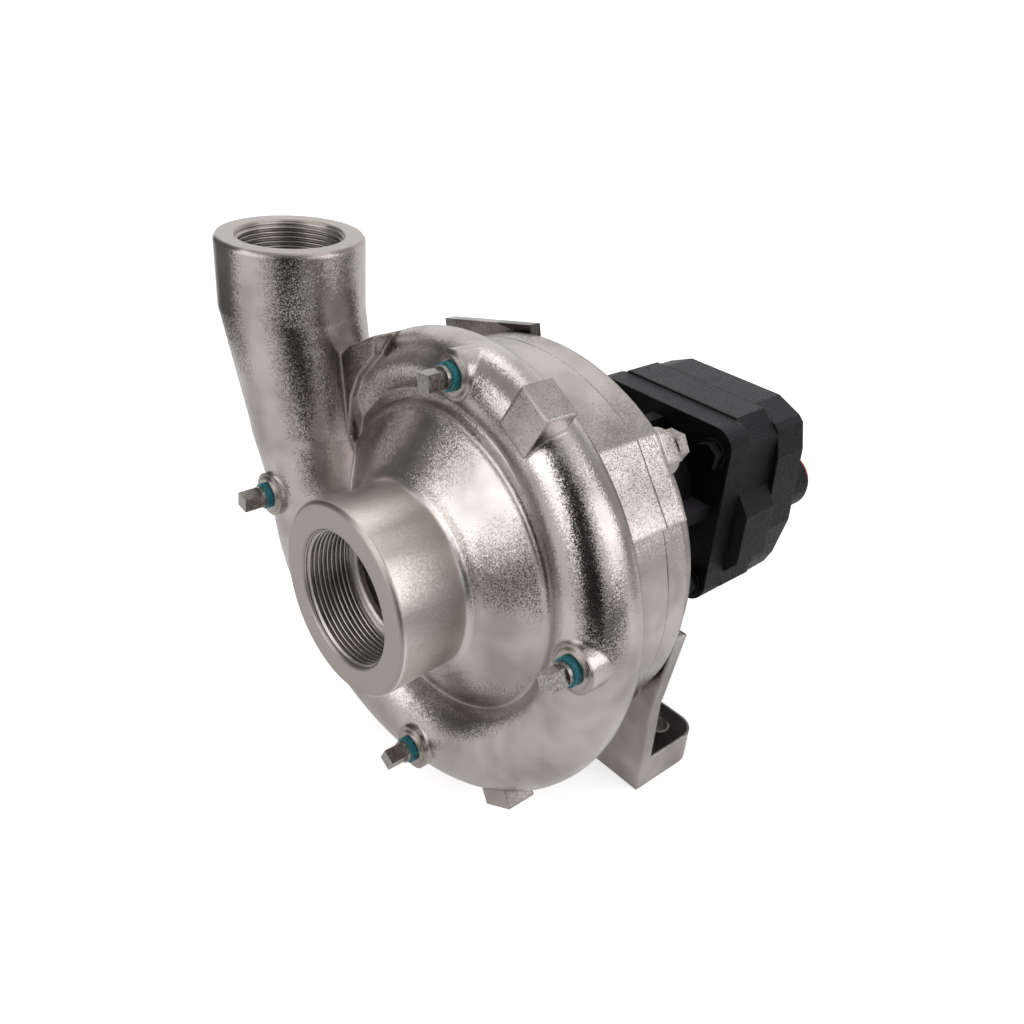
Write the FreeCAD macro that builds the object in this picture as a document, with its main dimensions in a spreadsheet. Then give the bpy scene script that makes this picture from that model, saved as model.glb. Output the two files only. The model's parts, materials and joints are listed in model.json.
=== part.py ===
# Close-coupled centrifugal pump with a hydraulic gear motor, in millimetres.
# The shaft runs along Y, the suction nozzle faces -Y and the discharge points up on the -X side.
# The origin lies on the floor, under the shaft, in the joint plane of casing and mounting flange.
import FreeCAD, Part
import math
import os
import Sketcher
from types import SimpleNamespace
from FreeCAD import Placement, Rotation, Vector

DIMENSIONS = {
    # Stand and frame
    "axis_height": 116.0,
    "static_gap": 0.05,
    "running_gap": 0.08,
    "cast_clearance": 1.5,
    # Suction nozzle and front cover
    "suction_reach": 111.0,
    "nozzle_radius": 43.0,
    "nozzle_root_radius": 41.5,
    "nozzle_length": 33.0,
    "nozzle_root_fillet": 6.0,
    "cover_ring_radius": 72.0,
    "cover_ring_reach": 60.0,
    "suction_thread_radius": 30.15,
    "suction_thread_depth": 24.0,
    "thread_mouth_chamfer": 0.9,
    "eye_passage_radius": 27.0,
    # Discharge riser
    "discharge_offset": 107.5,
    "discharge_height": 120.0,
    "discharge_depth": 66.5,
    "riser_radius": 33.5,
    "riser_straight": 32.0,
    "riser_bevel": 1.6,
    "discharge_thread_radius": 24.1,
    "discharge_thread_depth": 20.0,
    "riser_passage_radius": 22.5,
    # Spiral of the volute
    "volute_radius": 88.2,
    "volute_back": 33.0,
    "tube_start_radius": 14.0,
    "tube_growth": 14.6,
    "tube_wall_start": 5.0,
    "tube_wall_growth": 2.5,
    # Rim shared by casing and mounting flange
    "rim_radius": 91.0,
    "ear_radius": 11.0,
    "ear_inset": 8.0,
    "screw_inset": 6.3,
    "ear_angle": 46.0,
    "pad_radius": 107.5,
    "pad_shift": 1.4,
    "pad_drop": 16.2,
    "pad_start_angle": 55.8,
    "pad_sweep": 57.0,
    "corner_angle": 36.3,
    "corner_reach": 92.8,
    "corner_start": -15.3,
    "corner_width": 37.3,
    "corner_depth": 20.0,
    "flange_corner_start": 8.0,
    "flange_radius": 85.5,
    "cavity_radius": 80.4,
    "rim_overlap": 1.5,
    # Cast lugs and drain plug bosses
    "lug_angle": 60.0,
    "lug_reach": 114.5,
    "lug_width": 17.0,
    "lug_depth": 15.0,
    "lug_height": 22.0,
    "lug_front": 66.0,
    "tongue_front": 64.0,
    "tongue_thickness": 28.0,
    "boss_right_x": 94.3,
    "boss_right_z": 6.2,
    "boss_right_reach": 71.6,
    "boss_top_x": 7.5,
    "boss_top_z": 92.0,
    "boss_top_reach": 64.8,
    "boss_left_x": -89.6,
    "boss_left_z": 3.1,
    "boss_left_reach": 94.5,
    "boss_bottom_x": 11.2,
    "boss_bottom_z": -89.7,
    "boss_bottom_reach": 81.9,
    "boss_radius": 10.5,
    "boss_length": 12.0,
    "boss_step_radius": 8.6,
    "boss_step": 1.2,
    "plug_radius": 5.1,
    "plug_thread_length": 9.0,
    "plug_proud": 4.5,
    "plug_square": 7.1,
    "plug_head_length": 8.5,
    "sealant_radius": 6.1,
    "sealant_height": 2.4,
    # Mounting flange and feet
    "flange_thickness": 9.0,
    "spigot_length": 38.0,
    "spigot_wall": 6.0,
    "seal_chamber_radius": 27.0,
    "seal_chamber_wall": 6.0,
    "seal_wall": 5.0,
    "seal_lip": 2.0,
    "pilot_radius": 41.3,
    "pad_ring_radius": 62.0,
    "pad_ring_height": 7.0,
    "leg_front": 6.5,
    "leg_thickness": 7.0,
    "foot_half_width": 79.0,
    "foot_width": 33.0,
    "foot_length": 43.5,
    "foot_thickness": 17.0,
    "foot_corner": 11.0,
    "foot_hole_radius": 5.3,
    "foot_hole_inset": 14.5,
    "foot_hole_depth": 28.5,
    "leg_shoulder_height": 52.0,
    "leg_tangent_drop": 20.0,
    "top_pad_reach": 94.2,
    "top_pad_angle": 104.0,
    "top_pad_width": 62.5,
    "top_pad_start": -2.5,
    "top_pad_depth": 36.0,
    # Joint ring and casing screws
    "ring_section": 1.75,
    "ring_setback": 9.0,
    "screw_radius": 4.0,
    "screw_head": 13.0,
    "screw_head_height": 5.3,
    "screw_grip": 22.0,
    "washer_radius": 8.0,
    "washer_thickness": 1.6,
    # Impeller
    "impeller_radius": 70.0,
    "outlet_width": 8.0,
    "outlet_front": 52.0,
    "shroud_thickness": 2.5,
    "back_shroud_thickness": 4.0,
    "eye_radius": 26.5,
    "eye_rim_radius": 30.8,
    "eye_reach": 80.0,
    "eye_clearance": 0.5,
    "vane_count": 6.0,
    "vane_thickness": 3.0,
    "vane_exit_angle": 26.0,
    "hub_radius": 17.0,
    "hub_front": 64.0,
    "hub_back": 34.0,
    # Shaft
    "shaft_nose_radius": 8.0,
    "impeller_seat_radius": 9.5,
    "seal_seat_radius": 11.0,
    "bearing_seat_radius": 12.5,
    "oil_seal_seat_radius": 12.0,
    "gear_seat_radius": 7.5,
    "journal_radius": 7.0,
    "gear_key_width": 4.0,
    "key_width": 5.0,
    "key_height": 5.0,
    "nut_width": 24.0,
    "nut_height": 9.0,
    # Mechanical seal
    "seat_outer": 18.0,
    "seat_inner": 13.0,
    "seat_thickness": 6.0,
    "cup_thickness": 1.9,
    "carbon_outer": 16.5,
    "carbon_thickness": 4.0,
    "bellows_outer": 19.0,
    "bellows_length": 6.5,
    "spring_radius": 14.5,
    "spring_wire": 1.1,
    "slinger_radius": 20.0,
    "slinger_thickness": 4.0,
    # Motor bracket
    "bracket_flange_thickness": 12.0,
    "pilot_length": 8.0,
    "neck_radius": 33.0,
    "neck_rear_radius": 29.0,
    "plate_front": 79.0,
    "plate_thickness": 15.0,
    "motor_half_width": 47.0,
    "motor_top": 45.0,
    "motor_bottom": 54.0,
    "motor_corner": 11.0,
    "web_thickness": 7.0,
    "web_half_width": 41.0,
    "web_top": 38.0,
    "web_bottom": 44.0,
    "bracket_screw_circle": 52.0,
    "bracket_screw_radius": 4.0,
    # Bearing and oil seal in the bracket
    "bearing_outer": 26.0,
    "bearing_width": 15.0,
    "bearing_front": 21.0,
    "bearing_wall": 3.6,
    "ball_radius": 3.97,
    "ball_count": 9.0,
    "race_gap": 0.06,
    "cage_width": 10.6,
    "snap_ring_thickness": 1.6,
    "oil_seal_radius": 20.0,
    "oil_seal_front": 56.0,
    "oil_seal_width": 7.0,
    # Gear section
    "gear_module": 2.25,
    "gear_teeth": 12.0,
    "gear_backlash": 0.16,
    "gear_tip_radius": 15.4,
    "gear_root_radius": 10.9,
    "housing_thickness": 22.0,
    "housing_bulge": 7.0,
    "wear_plate_thickness": 2.0,
    "idler_shaft_radius": 6.5,
    "bushing_wall": 1.5,
    "bushing_length": 13.0,
    "bushing_gap": 0.04,
    "port_chamber_radius": 6.5,
    "port_chamber_offset": 13.0,
    "gasket_thickness": 0.6,
    # End cover, ports and caps
    "cover_thickness": 22.0,
    "cover_corner": 14.0,
    "port_offset": 29.0,
    "port_boss_radius": 16.0,
    "port_boss_length": 24.0,
    "port_radius": 10.3,
    "port_depth": 19.0,
    "cap_flange_thickness": 3.0,
    "cap_skirt_length": 7.0,
    "cap_wall": 1.4,
    "cover_top": 46.0,
    "port_drop": 10.5,
    "dowel_radius": 3.0,
    "dowel_spread": 36.5,
    "dowel_rise": 8.0,
    "dowel_depth": 8.0,
    "motor_bolt_radius": 4.0,
    "motor_bolt_depth": 14.0,
    "motor_bolt_head": 13.0,
    "motor_bolt_head_height": 5.3,
    "motor_bolt_spread": 36.5,
    "motor_bolt_rise": 31.0,
    "motor_bolt_drop": 43.5,
}

doc = FreeCAD.newDocument("centrifugal_pump")
sheet = doc.addObject("Spreadsheet::Sheet", "dims")
for row, (alias, size) in enumerate(DIMENSIONS.items(), start=1):
    sheet.set(f"A{row}", alias)
    sheet.set(f"B{row}", str(size))
    sheet.setAlias(f"B{row}", alias)
doc.recompute()


class Size:
    """Number that keeps the expression in the sheet's cells it came from."""

    def __init__(self, value, text):
        self.value = value
        self.text = text

    def __add__(self, other):
        other = as_size(other)
        return Size(self.value + other.value, f"({self.text} + {other.text})")

    def __sub__(self, other):
        other = as_size(other)
        return Size(self.value - other.value, f"({self.text} - {other.text})")

    def __mul__(self, other):
        other = as_size(other)
        return Size(self.value * other.value, f"({self.text} * {other.text})")

    def __truediv__(self, other):
        other = as_size(other)
        return Size(self.value / other.value, f"({self.text} / {other.text})")

    def __rsub__(self, other):
        return as_size(other) - self

    def __neg__(self):
        return Size(-self.value, f"(0 - {self.text})")

    __radd__ = __add__
    __rmul__ = __mul__


def as_size(number):
    return number if isinstance(number, Size) else Size(float(number), repr(float(number)))


def cosine(angle):
    angle = as_size(angle)
    return Size(math.cos(math.radians(angle.value)), f"cos({angle.text})")


def sine(angle):
    angle = as_size(angle)
    return Size(math.sin(math.radians(angle.value)), f"sin({angle.text})")


def root(number):
    return Size(math.sqrt(number.value), f"sqrt({number.text})")


d = SimpleNamespace(**{alias: Size(float(sheet.get(alias)), "dims." + alias) for alias in DIMENSIONS})
ALONG_Y = Rotation(Vector(1, 0, 0), -90)
AXIS = d.axis_height
# The text below measures y from the joint plane of casing and flange; the frame starts at the foot holes.
JOINT_PLANE = -(d.leg_front + d.foot_hole_depth)


def bind(item, **sizes):
    """Tie an object's properties to the sheet; at_x, at_y and at_z are its place."""
    for name, size in sizes.items():
        item.setExpression(name.replace("at_", "Placement.Base."), as_size(size).text)
    return item


def place(item, at):
    return bind(item, at_x=at[0], at_y=JOINT_PLANE + at[1], at_z=at[2])


def thing(kind, label):
    item = doc.addObject(kind, label)
    item.Label = label
    return item


def rod(label, radius, length, at, along=ALONG_Y):
    """Cylinder from its start point along +Y."""
    item = thing("Part::Cylinder", label)
    item.Placement.Rotation = along
    return place(bind(item, Radius=radius, Height=length), at)


def post(label, radius, length, at):
    """Cylinder from its start point upwards."""
    return rod(label, radius, length, at, Rotation())


def taper(label, start, end, length, at, along=ALONG_Y):
    item = thing("Part::Cone", label)
    item.Placement.Rotation = along
    return place(bind(item, Radius1=start, Radius2=end, Height=length), at)


def block(label, size, at):
    """Box from its lowest corner."""
    item = thing("Part::Box", label)
    return place(bind(item, Length=size[0], Width=size[1], Height=size[2]), at)


def prism(label, flats, length, at, sides=6, turn=0):
    """Regular prism along +Y, given across its flats."""
    item = thing("Part::Prism", label)
    item.Polygon = sides
    item.Placement.Rotation = Rotation(Vector(0, 1, 0), turn) * ALONG_Y
    return place(bind(item, Circumradius=flats / 2 / cosine(180 / sides), Height=length), at)


def joined(label, pieces):
    item = thing("Part::MultiFuse", label)
    item.Shapes = pieces
    item.Refine = True
    return item


def cut(label, base, tools):
    item = thing("Part::Cut", label)
    item.Base = base
    item.Tool = tools[0] if len(tools) == 1 else joined(label + "_tools", tools)
    item.Refine = True
    return item


def group(label, pieces):
    """Separate solids under one name."""
    item = thing("Part::Compound", label)
    item.Links = pieces
    return item


def computed(label, shape, front, height=AXIS, turn=Rotation()):
    """Shape worked out from the sheet's values round the shaft, then moved to its place."""
    item = thing("Part::Feature", label)
    item.Shape = shape
    item.Placement = Placement(Vector(0, 0, 0), turn)
    return place(item, (0, front, height))


def outline(body, role, points, label):
    """Closed sketch of straight lines whose corners follow the sheet."""
    sketch = body.newObject("Sketcher::SketchObject", label)
    plane = [item for item in body.Origin.OriginFeatures if item.Role == role][0]
    sketch.AttachmentSupport = [(plane, "")]
    sketch.MapMode = "FlatFace"
    points = [(as_size(across), as_size(up)) for across, up in points]
    corners = [Vector(across.value, up.value, 0) for across, up in points]
    count = len(points)
    for index in range(count):
        sketch.addGeometry(Part.LineSegment(corners[index], corners[(index + 1) % count]), False)
    for index in range(count):
        sketch.addConstraint(Sketcher.Constraint("Coincident", index, 2, (index + 1) % count, 1))
    for index, point in enumerate(points):
        for direction, size in zip(("DistanceX", "DistanceY"), point):
            rule = Sketcher.Constraint(direction, -1, 1, index, 1, size.value)
            number = sketch.addConstraint(rule)
            if "dims." in size.text:
                sketch.setExpression(f"Constraints[{number}]", size.text)
    return sketch


def turned(label, points, height=AXIS):
    """Body of revolution about the shaft's axis; a point is (radius, y)."""
    body = thing("PartDesign::Body", label)
    sketch = outline(body, "XY_Plane", points, label + "_profile")
    spin = body.newObject("PartDesign::Revolution", label + "_turn")
    spin.Profile = sketch
    spin.ReferenceAxis = (sketch, ["V_Axis"])
    spin.Angle = 360
    return place(body, (0, 0, height))


def plate(label, points, front, thickness):
    """Flat plate across the shaft; a point is (x, z) from the shaft's axis."""
    body = thing("PartDesign::Body", label)
    pad = body.newObject("PartDesign::Pad", label + "_pad")
    pad.Profile = outline(body, "XZ_Plane", points, label + "_outline")
    pad.Reversed = True
    pad.setExpression("Length", as_size(thickness).text)
    return place(body, (0, front, AXIS))


def ring(label, inner, outer, front, length, height=AXIS):
    """Plain ring round the shaft."""
    back = front + length
    return turned(label, [(inner, front), (outer, front), (outer, back), (inner, back)], height)


def around(count, first_angle, circle):
    """Places (x, z) spaced evenly on a circle round the shaft."""
    angles = [first_angle + index * 360 / count for index in range(count)]
    return [(circle * cosine(angle), AXIS + circle * sine(angle)) for angle in angles]

# Places along the shaft that several parts share.
SUCTION_FACE = -d.suction_reach
DISCHARGE_FACE = AXIS + d.discharge_height
HOUSING_FRONT = d.plate_front + d.plate_thickness + d.gasket_thickness
HOUSING_BACK = HOUSING_FRONT + d.housing_thickness
COVER_FRONT = HOUSING_BACK + d.gasket_thickness
COVER_BACK = COVER_FRONT + d.cover_thickness
BOSS_END = COVER_BACK + d.port_boss_length
IDLER_AXIS = AXIS - d.gear_module * d.gear_teeth
SCREW_PLACES = around(4, d.ear_angle, d.cavity_radius + d.screw_inset)
BRACKET_PLACES = around(4, as_size(45), d.bracket_screw_circle)
ACROSS = Rotation(Vector(0, 1, 0), 90)


# Volute casing: one stainless casting with a spiral tube, suction nozzle and discharge riser.
# Stations are angles round the shaft, from +X upwards.
FIRST_STATION = 150
MEETING_STATION = -90
LAST_STATION = -180
TONGUE_STATION = 120
STATION_STEP = 15
GROWTH_POWER = 1.3


def station_share(angle):
    return max(0.0, (TONGUE_STATION - angle) / (TONGUE_STATION - LAST_STATION))


def tube_radius(share):
    return d.tube_start_radius + d.tube_growth * share ** GROWTH_POWER


def spiral_section(label, angle, hollow):
    """Circle across the spiral at an angle from +X; its back stays flush with one plane."""
    share = station_share(angle)
    outer = tube_radius(share)
    inner = outer - d.tube_wall_start - d.tube_wall_growth * share
    circle = thing("Part::Circle", label)
    circle.Placement.Rotation = Rotation(Vector(0, 1, 0), -angle)
    bind(circle, Radius=inner if hollow else outer)
    x = d.volute_radius * cosine(angle)
    z = AXIS + d.volute_radius * sine(angle)
    return place(circle, (x, -d.volute_back - outer, z))


def riser_section(label, height, lean, hollow):
    """Level circle across the riser; lean is its share of the way back to the spiral."""
    circle = thing("Part::Circle", label)
    circle.Placement.Rotation = Rotation(Vector(0, 1, 0), 180)
    outer = d.riser_radius - (d.riser_radius - tube_radius(1)) * lean
    bind(circle, Radius=d.riser_passage_radius if hollow else outer)
    x = -d.discharge_offset + (d.discharge_offset - d.volute_radius) * lean
    y = -d.discharge_depth + (d.discharge_depth - d.volute_back - tube_radius(1)) * lean
    return place(circle, (x, y, AXIS + height))


def spiral(label, first_station, hollow):
    """Three lofts end to end: round the pump, up from its lowest point, and the straight leaning riser."""
    straight_start = d.discharge_height - d.riser_straight
    sections = {
        "round": [spiral_section(f"{label}_round_{FIRST_STATION - angle}", angle, hollow)
                  for angle in range(first_station, MEETING_STATION - 1, -STATION_STEP)],
        "rise": [spiral_section(f"{label}_rise_{FIRST_STATION - angle}", angle, hollow)
                 for angle in range(MEETING_STATION, LAST_STATION - 1, -STATION_STEP)],
        "riser": [],
    }
    for name, share in (("rise", 0.2), ("rise", 0.4), ("riser", 0.4), ("riser", 1)):
        section = riser_section(f"{label}_{name}_{share * 100:.0f}_up", straight_start * share, 1 - share, hollow)
        sections[name].append(section)
    lofts = []
    for name, circles in sections.items():
        lofts.append(thing("Part::Loft", f"{label}_{name}"))
        lofts[-1].Sections = circles
        lofts[-1].Solid = True
    return lofts


def turned_block(label, angle, reach, shift, size, front):
    """Box whose outer face lies square to a direction from the shaft's axis."""
    item = thing("Part::Box", label)
    item.Placement.Rotation = Rotation(Vector(0, 1, 0), -angle.value)
    bind(item, Length=size[0], Width=size[1], Height=size[2])
    inner = reach - size[0]
    x = inner * cosine(angle) - shift * sine(angle)
    z = AXIS + inner * sine(angle) + shift * cosine(angle)
    return place(item, (x, front, z))


def rim(label, radius, corner_start, front, length):
    """Round rim with four screw ears and the square corner of its upper right ear."""
    pieces = [rod(label + "_disc", radius, length, (0, front, AXIS))]
    for index, (x, z) in enumerate(around(4, d.ear_angle, d.rim_radius - d.ear_inset)):
        pieces.append(rod(f"{label}_ear_{index}", d.ear_radius, length, (x, front, z)))
    size = (d.corner_depth, length, d.corner_start + d.corner_width - corner_start)
    return pieces + [turned_block(label + "_corner", d.corner_angle, d.corner_reach, corner_start, size, front)]


def top_arch(label, front, length):
    """Flatter arc along the top of the casing, from the square corner to the left."""
    turn = Rotation(Vector(0, 1, 0), -(d.pad_start_angle + d.pad_sweep).value)
    arch = rod(label, d.pad_radius, length, (d.pad_shift, front, AXIS - d.pad_drop), turn * ALONG_Y)
    return bind(arch, Angle=d.pad_sweep)


# Tongue web between riser and spiral, as (radius, angle) round the shaft: its crease first, then the riser's side.
TONGUE_WEB = [
    (102, 116), (94, 119), (89.5, 130), (85, 138), (75.5, 150), (71, 167), (72.5, 178), (100, 180), (108, 160),
    (104, 140), (103, 128),
]


def tongue_web():
    corners = []
    for radius, angle in TONGUE_WEB:
        distance = d.volute_radius * (radius / 88.2)
        corners.append((distance * cosine(angle), distance * sine(angle)))
    return plate("casing_tongue_web", corners, -d.tongue_front, d.tongue_thickness)


# Plug bosses: place across the shaft and how far the face stands in front of the joint plane.
PLUG_BOSSES = [
    (d.boss_right_x, d.boss_right_z, d.boss_right_reach),
    (d.boss_top_x, d.boss_top_z, d.boss_top_reach),
    (d.boss_left_x, d.boss_left_z, d.boss_left_reach),
    (d.boss_bottom_x, d.boss_bottom_z, d.boss_bottom_reach),
]


def casing_body():
    reach = SUCTION_FACE
    ring_front = -d.cover_ring_reach
    profile = [
        (d.suction_thread_radius - 8, reach),
        (d.nozzle_radius - d.riser_bevel, reach),
        (d.nozzle_radius, reach + d.riser_bevel),
        (d.nozzle_root_radius, reach + d.nozzle_length),
        (d.nozzle_root_radius + d.nozzle_root_fillet * 0.3, reach + d.nozzle_length + d.nozzle_root_fillet * 0.3),
        (d.nozzle_root_radius + d.nozzle_root_fillet, reach + d.nozzle_length + d.nozzle_root_fillet * 0.6),
        (d.cover_ring_radius - 3, ring_front - 1.2),
        (d.cover_ring_radius - 0.8, ring_front - 0.9),
        (d.cover_ring_radius, ring_front),
        (d.cover_ring_radius + 1.5, ring_front + 3),
        (d.volute_radius - 8, ring_front + 3.5),
        (d.volute_radius - 3, ring_front + 9),
        (d.volute_radius - 3, -d.volute_back + 2),
        (d.suction_thread_radius - 8, -d.volute_back + 2),
    ]
    pieces = [turned("casing_cover", profile)] + spiral("casing_spiral", FIRST_STATION, False)
    rim_front, rim_length = -d.volute_back - d.rim_overlap, d.volute_back + d.rim_overlap
    pieces += rim("casing_rim", d.rim_radius, d.corner_start, rim_front, rim_length)
    pieces += [top_arch("casing_top_arch", rim_front, rim_length), tongue_web()]
    x, y = -d.discharge_offset, -d.discharge_depth
    straight = d.riser_straight - d.riser_bevel
    pieces.append(post("casing_riser", d.riser_radius, straight, (x, y, DISCHARGE_FACE - d.riser_straight)))
    bevel_radius = d.riser_radius - d.riser_bevel * 0.7
    bevel_foot = (x, y, DISCHARGE_FACE - d.riser_bevel)
    pieces.append(taper("casing_riser_bevel", d.riser_radius, bevel_radius, d.riser_bevel, bevel_foot, Rotation()))
    for side in (1, -1):
        size = (d.lug_height, d.lug_depth, d.lug_width)
        name = "casing_upper_lug" if side > 0 else "casing_lower_lug"
        pieces.append(turned_block(name, d.lug_angle * side, d.lug_reach, d.lug_width * -0.5, size, -d.lug_front))
    for index, (x, z, face) in enumerate(PLUG_BOSSES):
        step = d.boss_step
        pieces.append(rod(f"casing_boss_{index}", d.boss_radius, d.boss_length, (x, -face + step, AXIS + z)))
        pieces.append(rod(f"casing_boss_face_{index}", d.boss_step_radius, step + 1, (x, -face, AXIS + z)))
    return joined("casing_outside", pieces)


def casing_hollow():
    reach = SUCTION_FACE
    thread_end = reach + d.suction_thread_depth
    eye = d.eye_rim_radius + d.eye_clearance
    profile = [
        (0, reach - 1),
        (d.suction_thread_radius + d.thread_mouth_chamfer + 1, reach - 1),
        (d.suction_thread_radius, reach + d.thread_mouth_chamfer),
        (d.suction_thread_radius, thread_end),
        (d.eye_passage_radius, thread_end + 1.5),
        (d.eye_passage_radius, -d.eye_reach - d.cast_clearance * 2),
        (eye, -d.eye_reach - d.cast_clearance * 2),
        (eye, -d.eye_reach + 13),
        (d.nozzle_radius, -d.eye_reach + 14),
        (d.cover_ring_radius, -d.outlet_front - d.shroud_thickness - 1.2),
        (d.cavity_radius + 1.6, -d.outlet_front - 1),
        (d.cavity_radius + 1.6, -d.spigot_length - 5),
        (d.cavity_radius, -d.spigot_length - 5),
        (d.cavity_radius, 1),
        (0, 1),
    ]
    tools = [turned("casing_chamber", profile)] + spiral("casing_passage", TONGUE_STATION, True)
    x, y = -d.discharge_offset, -d.discharge_depth
    depth = d.riser_straight + 0.2
    drilled = d.riser_passage_radius + 0.3
    tools.append(post("casing_discharge", drilled, depth, (x, y, DISCHARGE_FACE - depth)))
    thread = (x, y, DISCHARGE_FACE - d.discharge_thread_depth)
    tools.append(post("casing_discharge_thread", d.discharge_thread_radius, d.discharge_thread_depth, thread))
    mouth = d.thread_mouth_chamfer
    wide = d.discharge_thread_radius + mouth * 1.1
    tools.append(taper("casing_discharge_mouth", d.discharge_thread_radius - mouth * 0.1, wide, mouth * 1.2,
                       (x, y, DISCHARGE_FACE - mouth), Rotation()))
    for index, (x, z, face) in enumerate(PLUG_BOSSES):
        hole = d.plug_radius + d.static_gap
        tools.append(rod(f"casing_plug_hole_{index}", hole, face - 50, (x, -face, AXIS + z)))
    for index, (x, z) in enumerate(SCREW_PLACES):
        hole = d.screw_radius + d.static_gap
        tools.append(rod(f"casing_tapped_hole_{index}", hole, d.screw_grip + 2, (x, -d.screw_grip - 2, z)))
    return tools


def cut_in_turn(label, base, tools):
    """Cuts one after the other, which keeps the free-form passages sound."""
    for index, tool in enumerate(tools):
        step = thing("Part::Cut", label if index == len(tools) - 1 else f"{label}_step_{index}")
        step.Base = base
        step.Tool = tool
        step.Refine = False
        base = step
    return base


hollow = casing_hollow()
volute_casing = cut_in_turn("volute_casing", casing_body(), hollow[:7] + [joined("casing_holes", hollow[7:])])

# Drain and priming plugs: square-headed, screwed into the four bosses over teal sealant.
plugs = []
sealant = []
for index, (x, z, face) in enumerate(PLUG_BOSSES):
    thread_length = d.plug_proud + d.plug_thread_length
    thread = rod(f"plug_thread_{index}", d.plug_radius, thread_length, (x, -face - d.plug_proud, AXIS + z))
    top = -face - d.plug_proud - d.plug_head_length
    square = prism(f"plug_square_{index}", d.plug_square, d.plug_head_length, (x, top, AXIS + z), 4, 20 + index * 17)
    plugs.append(joined(f"plug_{index}", [thread, square]))
    bead = rod(f"sealant_bead_{index}", d.sealant_radius, d.sealant_height, (x, -face - d.sealant_height, AXIS + z))
    through = rod(f"sealant_hole_{index}", d.plug_radius, d.sealant_height, (x, -face - d.sealant_height, AXIS + z))
    sealant.append(cut(f"sealant_{index}", bead, [through]))
group("drain_plugs", plugs)
group("plug_sealant_rings", sealant)


# Mounting flange: the rear casting with the feet, the spigot and the chamber of the shaft seal.
def flange_casting():
    spigot = d.cavity_radius - d.static_gap
    floor = -d.spigot_length + d.spigot_wall
    groove = spigot - d.ring_section * 2
    groove_half = d.ring_section * 1.2
    chamber_outer = d.seal_chamber_radius + d.seal_chamber_wall
    seat_bore = d.seat_outer + d.cup_thickness + d.static_gap
    profile = [
        (d.seal_chamber_radius, -d.spigot_length),
        (spigot - 1, -d.spigot_length),
        (spigot, -d.spigot_length + 1),
        (spigot, -d.ring_setback - groove_half),
        (groove, -d.ring_setback - groove_half),
        (groove, -d.ring_setback + groove_half),
        (spigot, -d.ring_setback + groove_half),
        (spigot, 0),
        (d.flange_radius, 0),
        (d.flange_radius, d.flange_thickness),
        (d.pad_ring_radius, d.flange_thickness),
        (d.pad_ring_radius, d.flange_thickness + d.pad_ring_height),
        (d.pilot_radius, d.flange_thickness + d.pad_ring_height),
        (d.pilot_radius, 0),
        (spigot - d.spigot_wall, 0),
        (spigot - d.spigot_wall, floor),
        (chamber_outer, floor),
        (chamber_outer, -d.seal_wall),
        (d.seat_inner + 1, -d.seal_wall),
        (d.seat_inner + 1, -d.seal_wall - d.seal_lip),
        (seat_bore, -d.seal_wall - d.seal_lip),
        (seat_bore, -d.seal_wall - d.seal_lip * 3.5),
        (d.seal_chamber_radius, -d.seal_wall - d.seal_lip * 3.5),
    ]
    pieces = [turned("flange_turned", profile)]
    ears = joined("flange_rim_blank", rim("flange_rim", d.flange_radius, d.flange_corner_start, 0, d.flange_thickness))
    pieces.append(cut("flange_rim", ears, [rod("flange_rim_hole", d.flange_radius - 4, d.flange_thickness, (0, 0, AXIS))]))
    size = (d.top_pad_depth, d.flange_thickness - 3, d.top_pad_width)
    pieces.append(turned_block("flange_top_pad", d.top_pad_angle, d.top_pad_reach, d.top_pad_start, size, 3))
    for side in (-1, 1):
        pieces += foot(side)
    return joined("flange_blank", pieces)


def foot(side):
    """Leg plate and foot of one side."""
    name = "right" if side > 0 else "left"
    inner = d.foot_half_width - d.foot_width
    shoulder = d.leg_shoulder_height - AXIS
    corners = [
        (inner, -AXIS), (d.foot_half_width, -AXIS), (d.foot_half_width, shoulder),
        (d.flange_radius, -d.leg_tangent_drop), (d.pad_ring_radius - 4, -d.leg_tangent_drop), (inner, -d.pad_ring_radius + 10),
    ]
    leg = plate(name + "_leg", [(x * side, z) for x, z in corners], d.leg_front, d.leg_thickness)
    corner = d.foot_corner
    back = d.leg_front + d.foot_length
    low_x = inner if side > 0 else -d.foot_half_width
    pieces = [leg]
    pieces.append(block(name + "_foot", (d.foot_width, d.foot_length - corner, d.foot_thickness),
                        (low_x, d.leg_front, 0)))
    pieces.append(block(name + "_foot_toe", (d.foot_width - corner * 2, d.foot_length, d.foot_thickness),
                        (low_x + corner, d.leg_front, 0)))
    for index, x in enumerate((low_x + corner, low_x + d.foot_width - corner)):
        pieces.append(post(f"{name}_foot_corner_{index}", corner, d.foot_thickness, (x, back - corner, 0)))
    return pieces


def flange_holes():
    tools = []
    for index, (x, z) in enumerate(SCREW_PLACES):
        tools.append(rod(f"flange_screw_hole_{index}", d.screw_radius + 0.4, d.flange_thickness, (x, 0, z)))
        tools.append(rod(f"flange_spot_face_{index}", d.washer_radius + 1.5, 14, (x, d.flange_thickness, z)))
    for index, (x, z) in enumerate(BRACKET_PLACES):
        hole_depth = d.pad_ring_height + d.flange_thickness - 2
        tools.append(rod(f"flange_stud_hole_{index}", d.bracket_screw_radius + d.static_gap, hole_depth, (x, 2, z)))
    for index, side in enumerate((-1, 1)):
        x = (d.foot_half_width - d.foot_hole_inset) * side
        tools.append(post(f"foot_hole_{index}", d.foot_hole_radius, d.foot_thickness, (x, d.leg_front + d.foot_hole_depth, 0)))
    return tools


mounting_flange = cut("mounting_flange", flange_casting(), flange_holes())

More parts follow.
